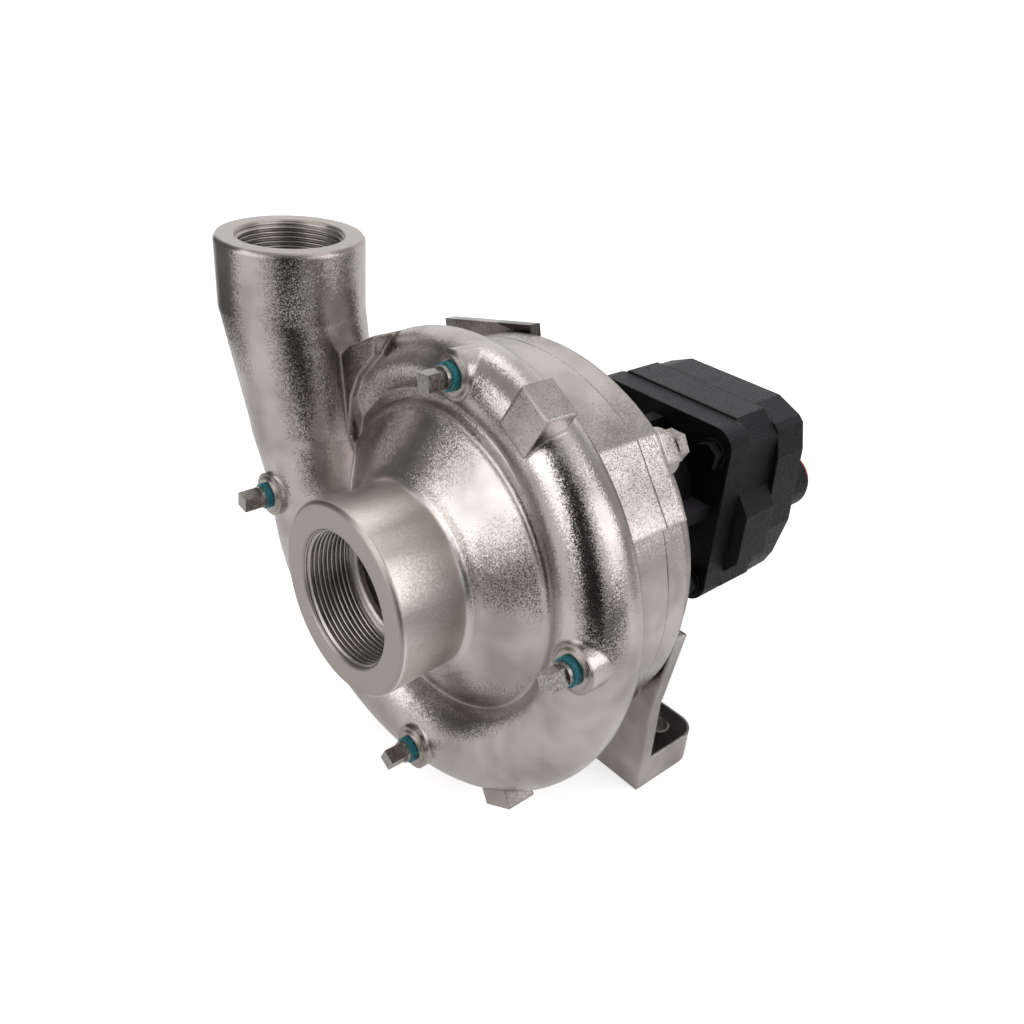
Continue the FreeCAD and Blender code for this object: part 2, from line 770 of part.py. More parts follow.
# Joint ring between casing and flange.
joint_ring = thing("Part::Torus", "casing_o_ring")
joint_ring.Placement.Rotation = ALONG_Y
bind(joint_ring, Radius1=d.cavity_radius - d.ring_section - d.static_gap * 0.4, Radius2=d.ring_section)
place(joint_ring, (0, -d.ring_setback, AXIS))


def screws(label, places, radius, head, head_height, bottom, seat):
    """Hexagon screws along Y, heads behind the seat plane."""
    items = []
    for index, (x, z) in enumerate(places):
        shank = rod(f"{label}_shank_{index}", radius, seat - bottom, (x, bottom, z))
        hexagon = prism(f"{label}_head_{index}", head, head_height, (x, seat, z), 6, index * 13)
        items.append(joined(f"{label}_{index}", [shank, hexagon]))
    return group(label, items)


def washers(label, places, hole, radius, thickness, front):
    items = []
    for index, (x, z) in enumerate(places):
        disc = rod(f"{label}_disc_{index}", radius, thickness, (x, front, z))
        items.append(cut(f"{label}_{index}", disc, [rod(f"{label}_hole_{index}", hole, thickness, (x, front, z))]))
    return group(label, items)


seat = d.flange_thickness + d.washer_thickness
screws("casing_screws", SCREW_PLACES, d.screw_radius, d.screw_head, d.screw_head_height, -d.screw_grip, seat)
washers("casing_washers", SCREW_PLACES, d.screw_radius + 0.2, d.washer_radius, d.washer_thickness, d.flange_thickness)


# Impeller: closed, with backward-curved vanes between two shrouds.
def vane_outline(inner, outer, slope, half_thickness, start_angle, steps=14):
    """Points round one vane whose middle line is a logarithmic spiral."""
    sides = {1: [], -1: []}
    for index in range(steps + 1):
        radius = inner * (outer / inner) ** (index / steps)
        angle = start_angle + math.log(radius / inner) / math.tan(slope)
        heading = angle + math.pi / 2 - slope
        for side in sides:
            across = heading + side * math.pi / 2
            x = radius * math.cos(angle) + half_thickness * math.cos(across)
            z = radius * math.sin(angle) + half_thickness * math.sin(across)
            sides[side].append(Vector(x, 0, z))
    points = sides[1] + sides[-1][::-1]
    return points + points[:1]


def vanes():
    """All the vanes, longer than the passage they cross."""
    length = (d.eye_reach - d.hub_back).value
    slope = math.radians(d.vane_exit_angle.value)
    count = int(d.vane_count.value)
    inner = d.hub_radius.value + 6
    outer = d.impeller_radius.value + 4
    solids = []
    for index in range(count):
        start = 2 * math.pi * index / count
        points = vane_outline(inner, outer, slope, d.vane_thickness.value / 2, start)
        face = Part.Face(Part.makePolygon(points))
        solids.append(face.extrude(Vector(0, length, 0)))
    return computed("impeller_vanes", Part.makeCompound(solids), -d.eye_reach)


def impeller_blank():
    bore = d.impeller_seat_radius + d.static_gap
    back = -d.outlet_front + d.outlet_width
    rear = back + d.back_shroud_thickness
    return turned("impeller_blank", [
        (bore, -d.hub_front), (d.eye_radius, -d.hub_front), (d.eye_radius, -d.eye_reach),
        (d.eye_rim_radius, -d.eye_reach), (d.eye_rim_radius, -d.hub_front - 1.5),
        (d.impeller_radius, -d.outlet_front - d.shroud_thickness), (d.impeller_radius, rear),
        (d.hub_radius, rear), (d.hub_radius, -d.hub_back), (bore, -d.hub_back),
    ])


def impeller_passage():
    back = -d.outlet_front + d.outlet_width
    return turned("impeller_passage", [
        (d.hub_radius - 2, -d.hub_front - 1), (d.eye_radius, -d.hub_front - 1), (d.eye_radius + 0.2, -d.hub_front + 0.5),
        (d.eye_rim_radius - 0.8, -d.hub_front + 1.6), (d.impeller_radius + 1, -d.outlet_front + 0.25),
        (d.impeller_radius + 1, back), (d.eye_radius, back), (d.hub_radius + 1, back - 6),
        (d.hub_radius - 2, -d.hub_front + 2),
    ])


passages = cut("impeller_channels", impeller_passage(), [vanes()])
key_seat = d.impeller_seat_radius - 3
key_top = key_seat + d.key_height
key_front = -d.hub_front + 6
key_length = d.hub_front - d.hub_back - 10
impeller_keyway = block("impeller_keyway", (d.key_width + d.static_gap, d.hub_front, d.key_height),
                        ((d.key_width + d.static_gap) * -0.5, -d.hub_front, AXIS + key_seat + d.static_gap))
cut("impeller", impeller_blank(), [passages, impeller_keyway])

block("impeller_key", (d.key_width - d.static_gap, key_length, d.key_height),
      ((d.key_width - d.static_gap) * -0.5, key_front, AXIS + key_seat))
ring("impeller_washer", d.shaft_nose_radius + d.static_gap, d.nut_width * 0.54, -d.hub_front - d.washer_thickness,
     d.washer_thickness)
nut_front = -d.hub_front - d.washer_thickness - d.nut_height
nut_blank = prism("impeller_nut_blank", d.nut_width, d.nut_height, (0, nut_front, AXIS))
cut("impeller_nut", nut_blank, [rod("impeller_nut_thread", d.shaft_nose_radius + d.static_gap * 0.5, d.nut_height,
                                    (0, nut_front, AXIS))])

# Pump shaft: one turned piece from the impeller nut to the end cover, with two keyways.
gear_front = HOUSING_FRONT + d.wear_plate_thickness + d.running_gap
gear_length = d.housing_thickness - (d.wear_plate_thickness + d.running_gap) * 2
bushing_front = d.plate_front + d.plate_thickness - d.bushing_length
gear_key_seat = d.gear_seat_radius - 2
gear_key_front = gear_front + 3
gear_key_length = gear_length - 6
shaft_blank = turned("shaft_blank", [
    (0, nut_front - 2), (d.shaft_nose_radius - 1, nut_front - 2), (d.shaft_nose_radius, nut_front - 1),
    (d.shaft_nose_radius, -d.hub_front + 0.3), (d.impeller_seat_radius, -d.hub_front + 0.9),
    (d.impeller_seat_radius, -d.hub_back), (d.seal_seat_radius, -d.hub_back),
    (d.seal_seat_radius, d.bearing_front), (d.bearing_seat_radius, d.bearing_front),
    (d.bearing_seat_radius, d.bearing_front + d.bearing_width),
    (d.bearing_seat_radius + 1.5, d.bearing_front + d.bearing_width),
    (d.bearing_seat_radius + 1.5, d.bearing_front + d.bearing_width + 4),
    (d.oil_seal_seat_radius, d.bearing_front + d.bearing_width + 4),
    (d.oil_seal_seat_radius, HOUSING_FRONT - d.gasket_thickness), (d.gear_seat_radius, HOUSING_FRONT - d.gasket_thickness),
    (d.gear_seat_radius, HOUSING_BACK), (d.journal_radius, HOUSING_BACK),
    (d.journal_radius, COVER_FRONT + d.bushing_length + 0.5), (0, COVER_FRONT + d.bushing_length + 0.5),
])
cut("pump_shaft", shaft_blank, [
    block("shaft_front_keyway", (d.key_width, key_length + d.static_gap * 2, d.key_height),
          (d.key_width * -0.5, key_front - d.static_gap, AXIS + key_seat - d.static_gap)),
    block("shaft_rear_keyway", (d.gear_key_width, gear_key_length + d.static_gap * 2, d.gear_key_width),
          (d.gear_key_width * -0.5, gear_key_front - d.static_gap, AXIS + gear_key_seat - d.static_gap)),
])

# Shaft seal: ceramic seat in a rubber cup, carbon ring pressed on by a bellows and a spring.
seat_back = -d.seal_wall - d.seal_lip - d.cup_thickness
seat_front = seat_back - d.seat_thickness
cup_outer = d.seat_outer + d.cup_thickness
ring("seal_seat", d.seat_inner, d.seat_outer - d.static_gap * 0.2, seat_front, d.seat_thickness)
turned("seal_seat_cup", [
    (d.seat_inner, seat_back), (d.seat_outer, seat_back), (d.seat_outer, seat_front + 1.9),
    (cup_outer, seat_front + 1.9), (cup_outer, seat_back + d.cup_thickness), (d.seat_inner, seat_back + d.cup_thickness),
])
carbon_front = seat_front - d.static_gap - d.carbon_thickness
ring("seal_carbon_ring", d.seal_seat_radius + 1.5, d.carbon_outer, carbon_front, d.carbon_thickness)
bellows_front = carbon_front - d.bellows_length
turned("seal_bellows", [
    (d.seal_seat_radius + 0.02, bellows_front), (d.bellows_outer - 2, bellows_front), (d.bellows_outer - 2, bellows_front + 1.5),
    (d.seal_seat_radius + 3, bellows_front + 1.5), (d.seal_seat_radius + 3, bellows_front + 3),
    (d.carbon_outer + 2, carbon_front - 1.6), (d.carbon_outer + 2, carbon_front + 2.5), (d.carbon_outer + 0.03, carbon_front + 2.5),
    (d.carbon_outer + 0.03, carbon_front), (d.seal_seat_radius + 0.02, carbon_front),
])
retainer_back = -d.hub_back + 1.5
turned("seal_retainer", [
    (d.seal_seat_radius + 0.1, -d.hub_back), (d.spring_radius + 3.4, -d.hub_back), (d.spring_radius + 3.4, retainer_back + 2),
    (d.spring_radius + 2.2, retainer_back + 2), (d.spring_radius + 2.2, retainer_back), (d.seal_seat_radius + 0.1, retainer_back),
])


def seal_spring(turns=2.25, step=18):
    """Coil between the retainer and the bellows: a loft through circles along the coil."""
    count = int(turns * 360 / step)
    rise = (bellows_front - retainer_back - d.spring_wire * 2.1) / count
    coil = thing("Part::Loft", "seal_spring")
    sections = []
    for index in range(count + 1):
        circle = thing("Part::Circle", f"seal_spring_section_{index}")
        circle.Placement.Rotation = Rotation(Vector(0, 1, 0), -index * step)
        bind(circle, Radius=d.spring_wire)
        x = d.spring_radius * cosine(index * step)
        z = AXIS + d.spring_radius * sine(index * step)
        sections.append(place(circle, (x, retainer_back + d.spring_wire * 1.05 + rise * index, z)))
    coil.Sections = sections
    coil.Solid = True
    coil.Ruled = True


seal_spring()
ring("slinger", d.seal_seat_radius + 0.02, d.slinger_radius, d.slinger_thickness * -0.5, d.slinger_thickness)


# Motor bracket: black casting with a round flange, a webbed neck and a square rear plate.
def rounded_plate(label, half_width, top, bottom, corner, front, thickness):
    """Plate across the shaft with rounded corners; top and bottom are measured from the shaft's axis."""
    height = top + bottom
    low = AXIS - bottom
    pieces = [
        block(label + "_tall", ((half_width - corner) * 2, thickness, height), (corner - half_width, front, low)),
        block(label + "_wide", (half_width * 2, thickness, height - corner * 2), (-half_width, front, low + corner)),
    ]
    for index, (x, z) in enumerate([(1, 0), (1, 1), (-1, 0), (-1, 1)]):
        centre_z = low + corner + (height - corner * 2) * z
        pieces.append(rod(f"{label}_corner_{index}", corner, thickness, ((half_width - corner) * x, front, centre_z)))
    return pieces


flange_back = d.flange_thickness + d.pad_ring_height
bracket_back = flange_back + d.bracket_flange_thickness
MOTOR_BOLTS = [(d.motor_bolt_spread * side, AXIS + rise) for side in (-1, 1) for rise in (d.motor_bolt_rise, -d.motor_bolt_drop)]
DOWELS = [(d.dowel_spread, AXIS + d.dowel_rise), (-d.dowel_spread, AXIS - d.dowel_rise - d.dowel_rise)]


def bracket_casting():
    pilot = d.pilot_radius - d.static_gap
    pilot_front = flange_back - d.pilot_length
    bearing_bore = d.bearing_outer + d.static_gap
    bearing_back = d.bearing_front + d.bearing_width
    snap_front = d.bearing_front - d.snap_ring_thickness
    oil_back = d.oil_seal_front + d.oil_seal_width
    body = turned("bracket_turned", [
        (bearing_bore, pilot_front), (pilot, pilot_front), (pilot, flange_back), (d.pad_ring_radius - 2, flange_back),
        (d.pad_ring_radius - 2, bracket_back), (d.neck_radius, bracket_back), (d.neck_rear_radius, d.plate_front + 1),
        (d.oil_seal_seat_radius + 5, d.plate_front + 1), (d.oil_seal_seat_radius + 5, oil_back), (d.oil_seal_radius + d.static_gap, oil_back),
        (d.oil_seal_radius + d.static_gap, d.oil_seal_front), (d.oil_seal_radius + 1, d.oil_seal_front),
        (d.oil_seal_radius + 1, bearing_back), (bearing_bore, bearing_back), (bearing_bore, d.bearing_front),
        (bearing_bore + 1.5, d.bearing_front), (bearing_bore + 1.5, snap_front), (bearing_bore, snap_front),
    ])
    pieces = rounded_plate("bracket_plate", d.motor_half_width, d.motor_top, d.motor_bottom, d.motor_corner,
                           d.plate_front, d.plate_thickness)
    length = d.plate_front - bracket_back + 1
    half = d.web_thickness * 0.5
    upright = block("bracket_upright_web", (d.web_thickness, length, d.web_top + d.web_bottom),
                    (-half, bracket_back - 0.5, AXIS - d.web_bottom))
    level = block("bracket_level_web", (d.web_half_width * 2, length, d.web_thickness),
                  (-d.web_half_width, bracket_back - 0.5, AXIS - half))
    hollow = rod("bracket_web_hollow", d.neck_rear_radius - 1.5, length + 2, (0, bracket_back - 1.5, AXIS))
    webs = cut("bracket_webs", joined("bracket_web_cross", [upright, level]), [hollow])
    return joined("bracket_blank", [body, webs] + [joined("bracket_plate", pieces)])


def bracket_holes():
    bushing = bushing_front
    tools = [rod("bracket_bushing_bore", d.oil_seal_seat_radius + d.bushing_wall + d.static_gap, d.bushing_length, (0, bushing, AXIS))]
    tools.append(rod("bracket_relief", d.oil_seal_seat_radius + 5, d.plate_thickness - d.bushing_length + 1, (0, d.plate_front - 1, AXIS)))
    tools.append(rod("bracket_idler_bore", d.idler_shaft_radius + d.bushing_wall + d.static_gap, d.bushing_length, (0, bushing, IDLER_AXIS)))
    for index, (x, z) in enumerate(BRACKET_PLACES):
        tools.append(rod(f"bracket_screw_hole_{index}", d.bracket_screw_radius + 0.4, d.bracket_flange_thickness, (x, flange_back, z)))
    for index, (x, z) in enumerate(MOTOR_BOLTS):
        tools.append(rod(f"bracket_bolt_hole_{index}", d.motor_bolt_radius + 0.3, d.plate_thickness, (x, d.plate_front, z)))
    for index, (x, z) in enumerate(DOWELS):
        tools.append(rod(f"bracket_dowel_hole_{index}", d.dowel_radius + d.static_gap, d.dowel_depth, (x, d.plate_front + d.plate_thickness - d.dowel_depth, z)))
    return tools


cut("motor_bracket", bracket_casting(), bracket_holes())
screws("bracket_screws", BRACKET_PLACES, d.bracket_screw_radius, d.screw_head, d.screw_head_height, 3, bracket_back + d.washer_thickness)
washers("bracket_washers", BRACKET_PLACES, d.bracket_screw_radius + 0.2, d.washer_radius, d.washer_thickness, bracket_back)

# Ball bearing with its snap ring, and the oil seal behind it.
ball_circle = (d.bearing_outer + d.bearing_seat_radius) * 0.5
bearing_middle = d.bearing_front + d.bearing_width * 0.5


def race(label, inner, outer):
    blank = ring(label + "_blank", inner, outer, d.bearing_front, d.bearing_width)
    groove = thing("Part::Torus", label + "_groove")
    groove.Placement.Rotation = ALONG_Y
    bind(groove, Radius1=ball_circle, Radius2=d.ball_radius + d.race_gap)
    place(groove, (0, bearing_middle, AXIS))
    return cut(label, blank, [groove])


race("bearing_inner_race", d.bearing_seat_radius + 0.01, d.bearing_seat_radius + d.bearing_wall)
race("bearing_outer_race", d.bearing_outer - d.bearing_wall, d.bearing_outer)
balls = []
pockets = []
for index, (x, z) in enumerate(around(9, as_size(90), ball_circle)):
    ball = thing("Part::Sphere", f"bearing_ball_{index}")
    balls.append(place(bind(ball, Radius=d.ball_radius), (x, bearing_middle, z)))
    outward = Rotation(Vector(0, 1, 0), -40 * index)
    pockets.append(rod(f"bearing_pocket_{index}", d.ball_radius + d.running_gap, d.bearing_outer,
                       (0, bearing_middle, AXIS), outward))
group("bearing_balls", balls)
cage_front = bearing_middle - d.cage_width * 0.5
cage_blank = ring("bearing_cage_blank", ball_circle - 1.1, ball_circle + 1.1, cage_front, d.cage_width)
cut("bearing_cage", cage_blank, pockets)
snap_front = d.bearing_front - d.snap_ring_thickness + 0.05
snap_blank = ring("snap_ring_blank", d.bearing_outer - 2.2, d.bearing_outer + 1.4, snap_front, d.snap_ring_thickness - 0.1)
cut("bearing_snap_ring", snap_blank, [block("snap_ring_gap", (8, 5, 10), (-4, snap_front - 1, AXIS + d.bearing_outer - 6))])
oil_outer = d.oil_seal_radius
oil_back = d.oil_seal_front + d.oil_seal_width
turned("oil_seal", [
    (d.oil_seal_seat_radius + d.running_gap, d.oil_seal_front + 2.2), (d.oil_seal_seat_radius + 1.5, d.oil_seal_front),
    (d.oil_seal_seat_radius + 3.2, d.oil_seal_front + 1), (d.oil_seal_seat_radius + 3.2, oil_back - 2),
    (oil_outer - 1.5, oil_back - 2), (oil_outer - 1.5, d.oil_seal_front), (oil_outer, d.oil_seal_front), (oil_outer, oil_back),
    (d.oil_seal_seat_radius + 2, oil_back), (d.oil_seal_seat_radius + 2, d.oil_seal_front + 4),
])

# Plain bushings of both shafts, two in the bracket and two in the end cover.
shaft_bushings = [
    ring("front_shaft_bushing", d.oil_seal_seat_radius + d.bushing_gap, d.oil_seal_seat_radius + d.bushing_wall, bushing_front, d.bushing_length),
    ring("rear_shaft_bushing", d.journal_radius + d.bushing_gap, d.journal_radius + d.bushing_wall, COVER_FRONT, d.bushing_length),
]
group("shaft_bushings", shaft_bushings)
idler_bushings = [
    ring(f"{name}_idler_bushing", d.idler_shaft_radius + d.bushing_gap, d.idler_shaft_radius + d.bushing_wall, front, d.bushing_length, IDLER_AXIS)
    for name, front in (("front", bushing_front), ("rear", COVER_FRONT))
]
group("idler_bushings", idler_bushings)


# Meshing gears: involute flanks down to the base circle, straight and slightly relieved below it.
def gear_outline(teeth, module, tip, root, backlash, phase):
    pitch = teeth * module / 2
    pressure = math.radians(24)
    base = pitch * math.cos(pressure)
    involute_at_pitch = math.tan(pressure) - pressure
    half_tooth = math.pi / (2 * teeth) - backlash / (2 * pitch)
    flank = []
    for index in range(6):
        radius = base + 0.02 + (tip - base - 0.02) * index / 5
        angle = math.acos(base / radius)
        flank.append((radius, half_tooth + involute_at_pitch - (math.tan(angle) - angle)))
    foot = (root, flank[0][1] + 0.02)
    points = []
    for tooth in range(teeth):
        centre = phase + 2 * math.pi * tooth / teeth
        side = [(radius, centre - half) for radius, half in [foot] + flank]
        side += [(radius, centre + half) for radius, half in (flank[::-1] + [foot])]
        points += [Vector(radius * math.cos(angle), 0, radius * math.sin(angle)) for radius, angle in side]
    return points + points[:1]


def gear(label, phase, height, front, length, bore, keyway):
    module, teeth = d.gear_module.value, int(d.gear_teeth.value)
    tip, root = d.gear_tip_radius.value, d.gear_root_radius.value
    face = Part.Face(Part.makePolygon(gear_outline(teeth, module, tip, root, d.gear_backlash.value, phase)))
    blank = computed(label + "_toothed", face.extrude(Vector(0, length.value, 0)), front, height)
    tools = [rod(label + "_bore", bore, length, (0, front, height))] + keyway
    return cut(label, blank, tools)


gear_keyway = block("drive_gear_keyway", (d.gear_key_width + d.static_gap, gear_length, d.gear_key_width),
                    ((d.gear_key_width + d.static_gap) * -0.5, gear_front, AXIS + gear_key_seat + d.static_gap))
gear("drive_gear", 0, AXIS, gear_front, gear_length, d.gear_seat_radius + 0.01, [gear_keyway])
gear("idler_gear", math.pi / d.gear_teeth.value, IDLER_AXIS, gear_front, gear_length, d.idler_shaft_radius + 0.01, [])
block("drive_gear_key", (d.gear_key_width - d.static_gap, gear_key_length, d.gear_key_width),
      ((d.gear_key_width - d.static_gap) * -0.5, gear_key_front, AXIS + gear_key_seat))
rod("idler_shaft", d.idler_shaft_radius, d.gasket_thickness * 2 + d.housing_thickness + d.bushing_length * 2 - 1,
    (0, bushing_front + 0.5, IDLER_AXIS))


# Gear housing between two gaskets, wear plates inside it, end cover behind it.
def figure_eight(label, radius, front, length):
    return [rod(f"{label}_{name}", radius, length, (0, front, height)) for name, height in (("upper", AXIS), ("lower", IDLER_AXIS))]


def housing_outline():
    top, side, bulge = d.motor_top + 1, d.motor_half_width, d.motor_half_width + d.housing_bulge
    low = d.motor_bottom + 4
    corner = d.motor_corner
    right = [
        (side - corner, top), (side, top - corner), (side, 8), (bulge, -2), (bulge, -30), (side, -38),
        (side, corner - low), (side - corner, -low),
    ]
    return right + [(-x, z) for x, z in right[::-1]]


def chambers(label, front, length):
    """Ports beside the mesh of the gears."""
    offset = d.port_chamber_offset
    middle = (AXIS + IDLER_AXIS) * 0.5
    return [rod(f"{label}_{index}", d.port_chamber_radius, length, (offset * side, front, middle)) for index, side in enumerate((-1, 1))]


def through_holes(label, front, length):
    places = [(x, z, d.motor_bolt_radius + 0.3) for x, z in MOTOR_BOLTS]
    places += [(x, z, d.dowel_radius + d.static_gap) for x, z in DOWELS]
    return [rod(f"{label}_{index}", radius, length, (x, front, z)) for index, (x, z, radius) in enumerate(places)]


def sandwich_layer(label, front, thickness):
    chamber = d.gear_tip_radius + d.running_gap
    tools = figure_eight(label + "_chamber", chamber, front, thickness)
    tools += chambers(label + "_port", front, thickness) + through_holes(label + "_hole", front, thickness)
    return cut(label, plate(label + "_blank", housing_outline(), front, thickness), tools)


sandwich_layer("gear_housing", HOUSING_FRONT, d.housing_thickness)
gaskets = [sandwich_layer("front_gasket", HOUSING_FRONT - d.gasket_thickness, d.gasket_thickness),
           sandwich_layer("rear_gasket", HOUSING_BACK, d.gasket_thickness)]
group("housing_gaskets", gaskets)
wear_plates = []
for name, front in (("front", HOUSING_FRONT), ("rear", HOUSING_BACK - d.wear_plate_thickness)):
    lobes = joined(name + "_wear_lobes", figure_eight(name + "_wear", d.gear_tip_radius + d.running_gap - d.static_gap, front, d.wear_plate_thickness))
    holes = [rod(name + "_wear_shaft_hole", d.gear_seat_radius + 0.5, d.wear_plate_thickness, (0, front, AXIS)),
             rod(name + "_wear_idler_hole", d.idler_shaft_radius + 0.5, d.wear_plate_thickness, (0, front, IDLER_AXIS))]
    holes += chambers(name + "_wear_port", front, d.wear_plate_thickness)
    cut(name + "_wear_plate", lobes, holes)


def end_cover():
    flat, corner, side = d.cover_top, d.cover_corner, d.motor_half_width
    low = d.motor_bottom + 5
    right = [(side - corner * 1.25, flat), (side - 3.5, flat - 6), (side - 0.4, flat - 9), (side + 3, flat - 23),
             (side + 4.6, -19), (side - 0.4, -42), (side - 4, -50), (side - 11, -low)]
    points = right + [(-x, z) for x, z in right[::-1]]
    pieces = [plate("end_cover_plate", points, COVER_FRONT, d.cover_thickness)]
    tools = [rod("end_cover_shaft_bore", d.journal_radius + d.bushing_wall + d.static_gap, d.bushing_length + 2, (0, COVER_FRONT, AXIS)),
             rod("end_cover_idler_bore", d.idler_shaft_radius + d.bushing_wall + d.static_gap, d.bushing_length + 2, (0, COVER_FRONT, IDLER_AXIS))]
    for index, side in enumerate((-1, 1)):
        x = d.port_offset * side
        z = AXIS - d.port_drop
        pieces.append(rod(f"port_boss_{index}", d.port_boss_radius, d.port_boss_length + 2, (x, COVER_BACK - 2, z)))
        tools.append(rod(f"port_thread_{index}", d.port_radius, d.port_depth, (x, BOSS_END - d.port_depth, z)))
        tools.append(rod(f"port_drill_{index}", d.port_chamber_radius, d.port_boss_length + d.cover_thickness - 8, (x, COVER_FRONT + 8, z)))
        way = (d.port_chamber_offset * side, COVER_FRONT + 9, z)
        turn = ACROSS if side > 0 else Rotation(Vector(0, 1, 0), -90)
        tools.append(rod(f"port_crossing_{index}", d.port_chamber_radius, d.port_offset - d.port_chamber_offset, way, turn))
        tools.append(rod(f"port_entry_{index}", d.port_chamber_radius, 12, (d.port_chamber_offset * side, COVER_FRONT, z)))
    for index, (x, z) in enumerate(MOTOR_BOLTS):
        tools.append(rod(f"end_cover_bolt_hole_{index}", d.motor_bolt_radius + d.static_gap, d.motor_bolt_depth + 2, (x, COVER_FRONT, z)))
    for index, (x, z) in enumerate(DOWELS):
        tools.append(rod(f"end_cover_dowel_hole_{index}", d.dowel_radius + d.static_gap, d.dowel_depth, (x, COVER_FRONT, z)))
    return cut("end_cover", joined("end_cover_blank", pieces), tools)


end_cover()
bolt_seat = d.plate_front - d.washer_thickness
bolts = []
for index, (x, z) in enumerate(MOTOR_BOLTS):
    shank_length = COVER_FRONT + d.motor_bolt_depth - bolt_seat
    shank = rod(f"motor_bolt_shank_{index}", d.motor_bolt_radius, shank_length, (x, bolt_seat, z))
    head = prism(f"motor_bolt_head_{index}", d.motor_bolt_head, d.motor_bolt_head_height, (x, bolt_seat - d.motor_bolt_head_height, z), 6, index * 19)
    bolts.append(joined(f"motor_bolt_{index}", [shank, head]))
group("motor_bolts", bolts)
washers("motor_bolt_washers", MOTOR_BOLTS, d.motor_bolt_radius + 0.2, d.washer_radius, d.washer_thickness, bolt_seat)
dowel_front = HOUSING_FRONT - d.gasket_thickness - d.dowel_depth + 0.5
dowel_length = d.housing_thickness + (d.gasket_thickness + d.dowel_depth - 0.5) * 2
group("dowel_pins", [rod(f"dowel_pin_{index}", d.dowel_radius, dowel_length, (x, dowel_front, z)) for index, (x, z) in enumerate(DOWELS)])

# Caps that close the two ports in transport.
caps = []
for index, side in enumerate((-1, 1)):
    x, z = d.port_offset * side, AXIS - d.port_drop
    skirt = d.port_radius - d.static_gap
    rim_disc = rod(f"cap_rim_{index}", d.port_boss_radius - 1.5, d.cap_flange_thickness, (x, BOSS_END, z))
    plug_disc = rod(f"cap_skirt_{index}", skirt, d.cap_skirt_length + 1, (x, BOSS_END - d.cap_skirt_length, z))
    inside = rod(f"cap_inside_{index}", skirt - d.cap_wall, d.cap_skirt_length + 1, (x, BOSS_END - d.cap_skirt_length, z))
    dish = rod(f"cap_dish_{index}", skirt - d.cap_wall, d.cap_flange_thickness - 2, (x, BOSS_END + 2, z))
    caps.append(cut(f"cap_{index}", joined(f"cap_solid_{index}", [rim_disc, plug_disc]), [inside, dish]))
group("port_caps", caps)

NODES = [
    "volute_casing", "mounting_flange", "casing_o_ring", "casing_screws", "casing_washers", "drain_plugs",
    "plug_sealant_rings", "impeller", "impeller_nut", "impeller_washer", "impeller_key", "pump_shaft",
    "seal_seat", "seal_seat_cup", "seal_carbon_ring", "seal_bellows", "seal_spring", "seal_retainer", "slinger",
    "motor_bracket", "bracket_screws", "bracket_washers", "bearing_inner_race", "bearing_outer_race",
    "bearing_balls", "bearing_cage", "bearing_snap_ring", "oil_seal", "shaft_bushings", "idler_bushings",
    "drive_gear", "drive_gear_key", "idler_gear", "idler_shaft", "front_wear_plate", "rear_wear_plate",
    "gear_housing", "housing_gaskets", "end_cover", "motor_bolts", "motor_bolt_washers", "dowel_pins", "port_caps",
]
doc.recompute()
for item in doc.Objects:
    if {"Invalid", "Error"} & set(item.State):
        raise RuntimeError(f"{item.Label} was not built")
    if item.isDerivedFrom("Part::Feature") and (item.Shape.isNull() or not item.Shape.isValid()):
        raise RuntimeError(f"{item.Label} has no valid shape")
os.makedirs("parts", exist_ok=True)
for node in NODES:
    doc.getObject(node).Shape.exportStep(f"parts/{node}.step")
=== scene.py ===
import bpy
import json
import math
import numpy as np
from mathutils import Matrix, Vector


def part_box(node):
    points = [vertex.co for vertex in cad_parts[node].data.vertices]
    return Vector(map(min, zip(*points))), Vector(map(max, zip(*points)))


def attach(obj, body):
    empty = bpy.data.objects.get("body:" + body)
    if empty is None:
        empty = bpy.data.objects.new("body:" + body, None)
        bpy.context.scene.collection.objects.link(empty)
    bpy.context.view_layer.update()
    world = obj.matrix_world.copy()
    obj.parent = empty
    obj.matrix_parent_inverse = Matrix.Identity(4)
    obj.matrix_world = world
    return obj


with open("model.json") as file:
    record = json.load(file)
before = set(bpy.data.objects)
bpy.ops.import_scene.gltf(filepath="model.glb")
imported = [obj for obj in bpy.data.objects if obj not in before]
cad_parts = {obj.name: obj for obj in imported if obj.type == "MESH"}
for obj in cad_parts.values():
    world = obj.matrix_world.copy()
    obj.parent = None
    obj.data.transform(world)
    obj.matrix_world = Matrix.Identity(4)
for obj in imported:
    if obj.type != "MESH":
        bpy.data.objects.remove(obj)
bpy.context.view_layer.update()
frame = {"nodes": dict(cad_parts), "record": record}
nodes = frame["nodes"]
mounts = {mount["name"]: mount for mount in frame["record"]["mounts"]}

# All sizes and places are in metres.

# The spiral volute casing: one sand casting of stainless steel, blasted with glass beads to a
# sparkling grain. The suction nozzle was rubbed afterwards; its lighter colour is partly that
# polish and partly a painted shine. The faces of both nozzles and of the four plug bosses were
# turned smooth.
CASING_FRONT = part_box("volute_casing")[0].y
CASING_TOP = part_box("volute_casing")[1].z
SHAFT_HEIGHT = mounts["suction"]["pos_m"][2]
NOZZLE_RADIUS = 0.0438
NOZZLE_END = -0.11
NOZZLE_FADE = 0.004
TURNED_DEPTH = 0.0011
BOSS_FACE_RADIUS = 0.0106
BOSS_FACE_DEPTH = 0.0022
SOFT_EDGE = 0.0004
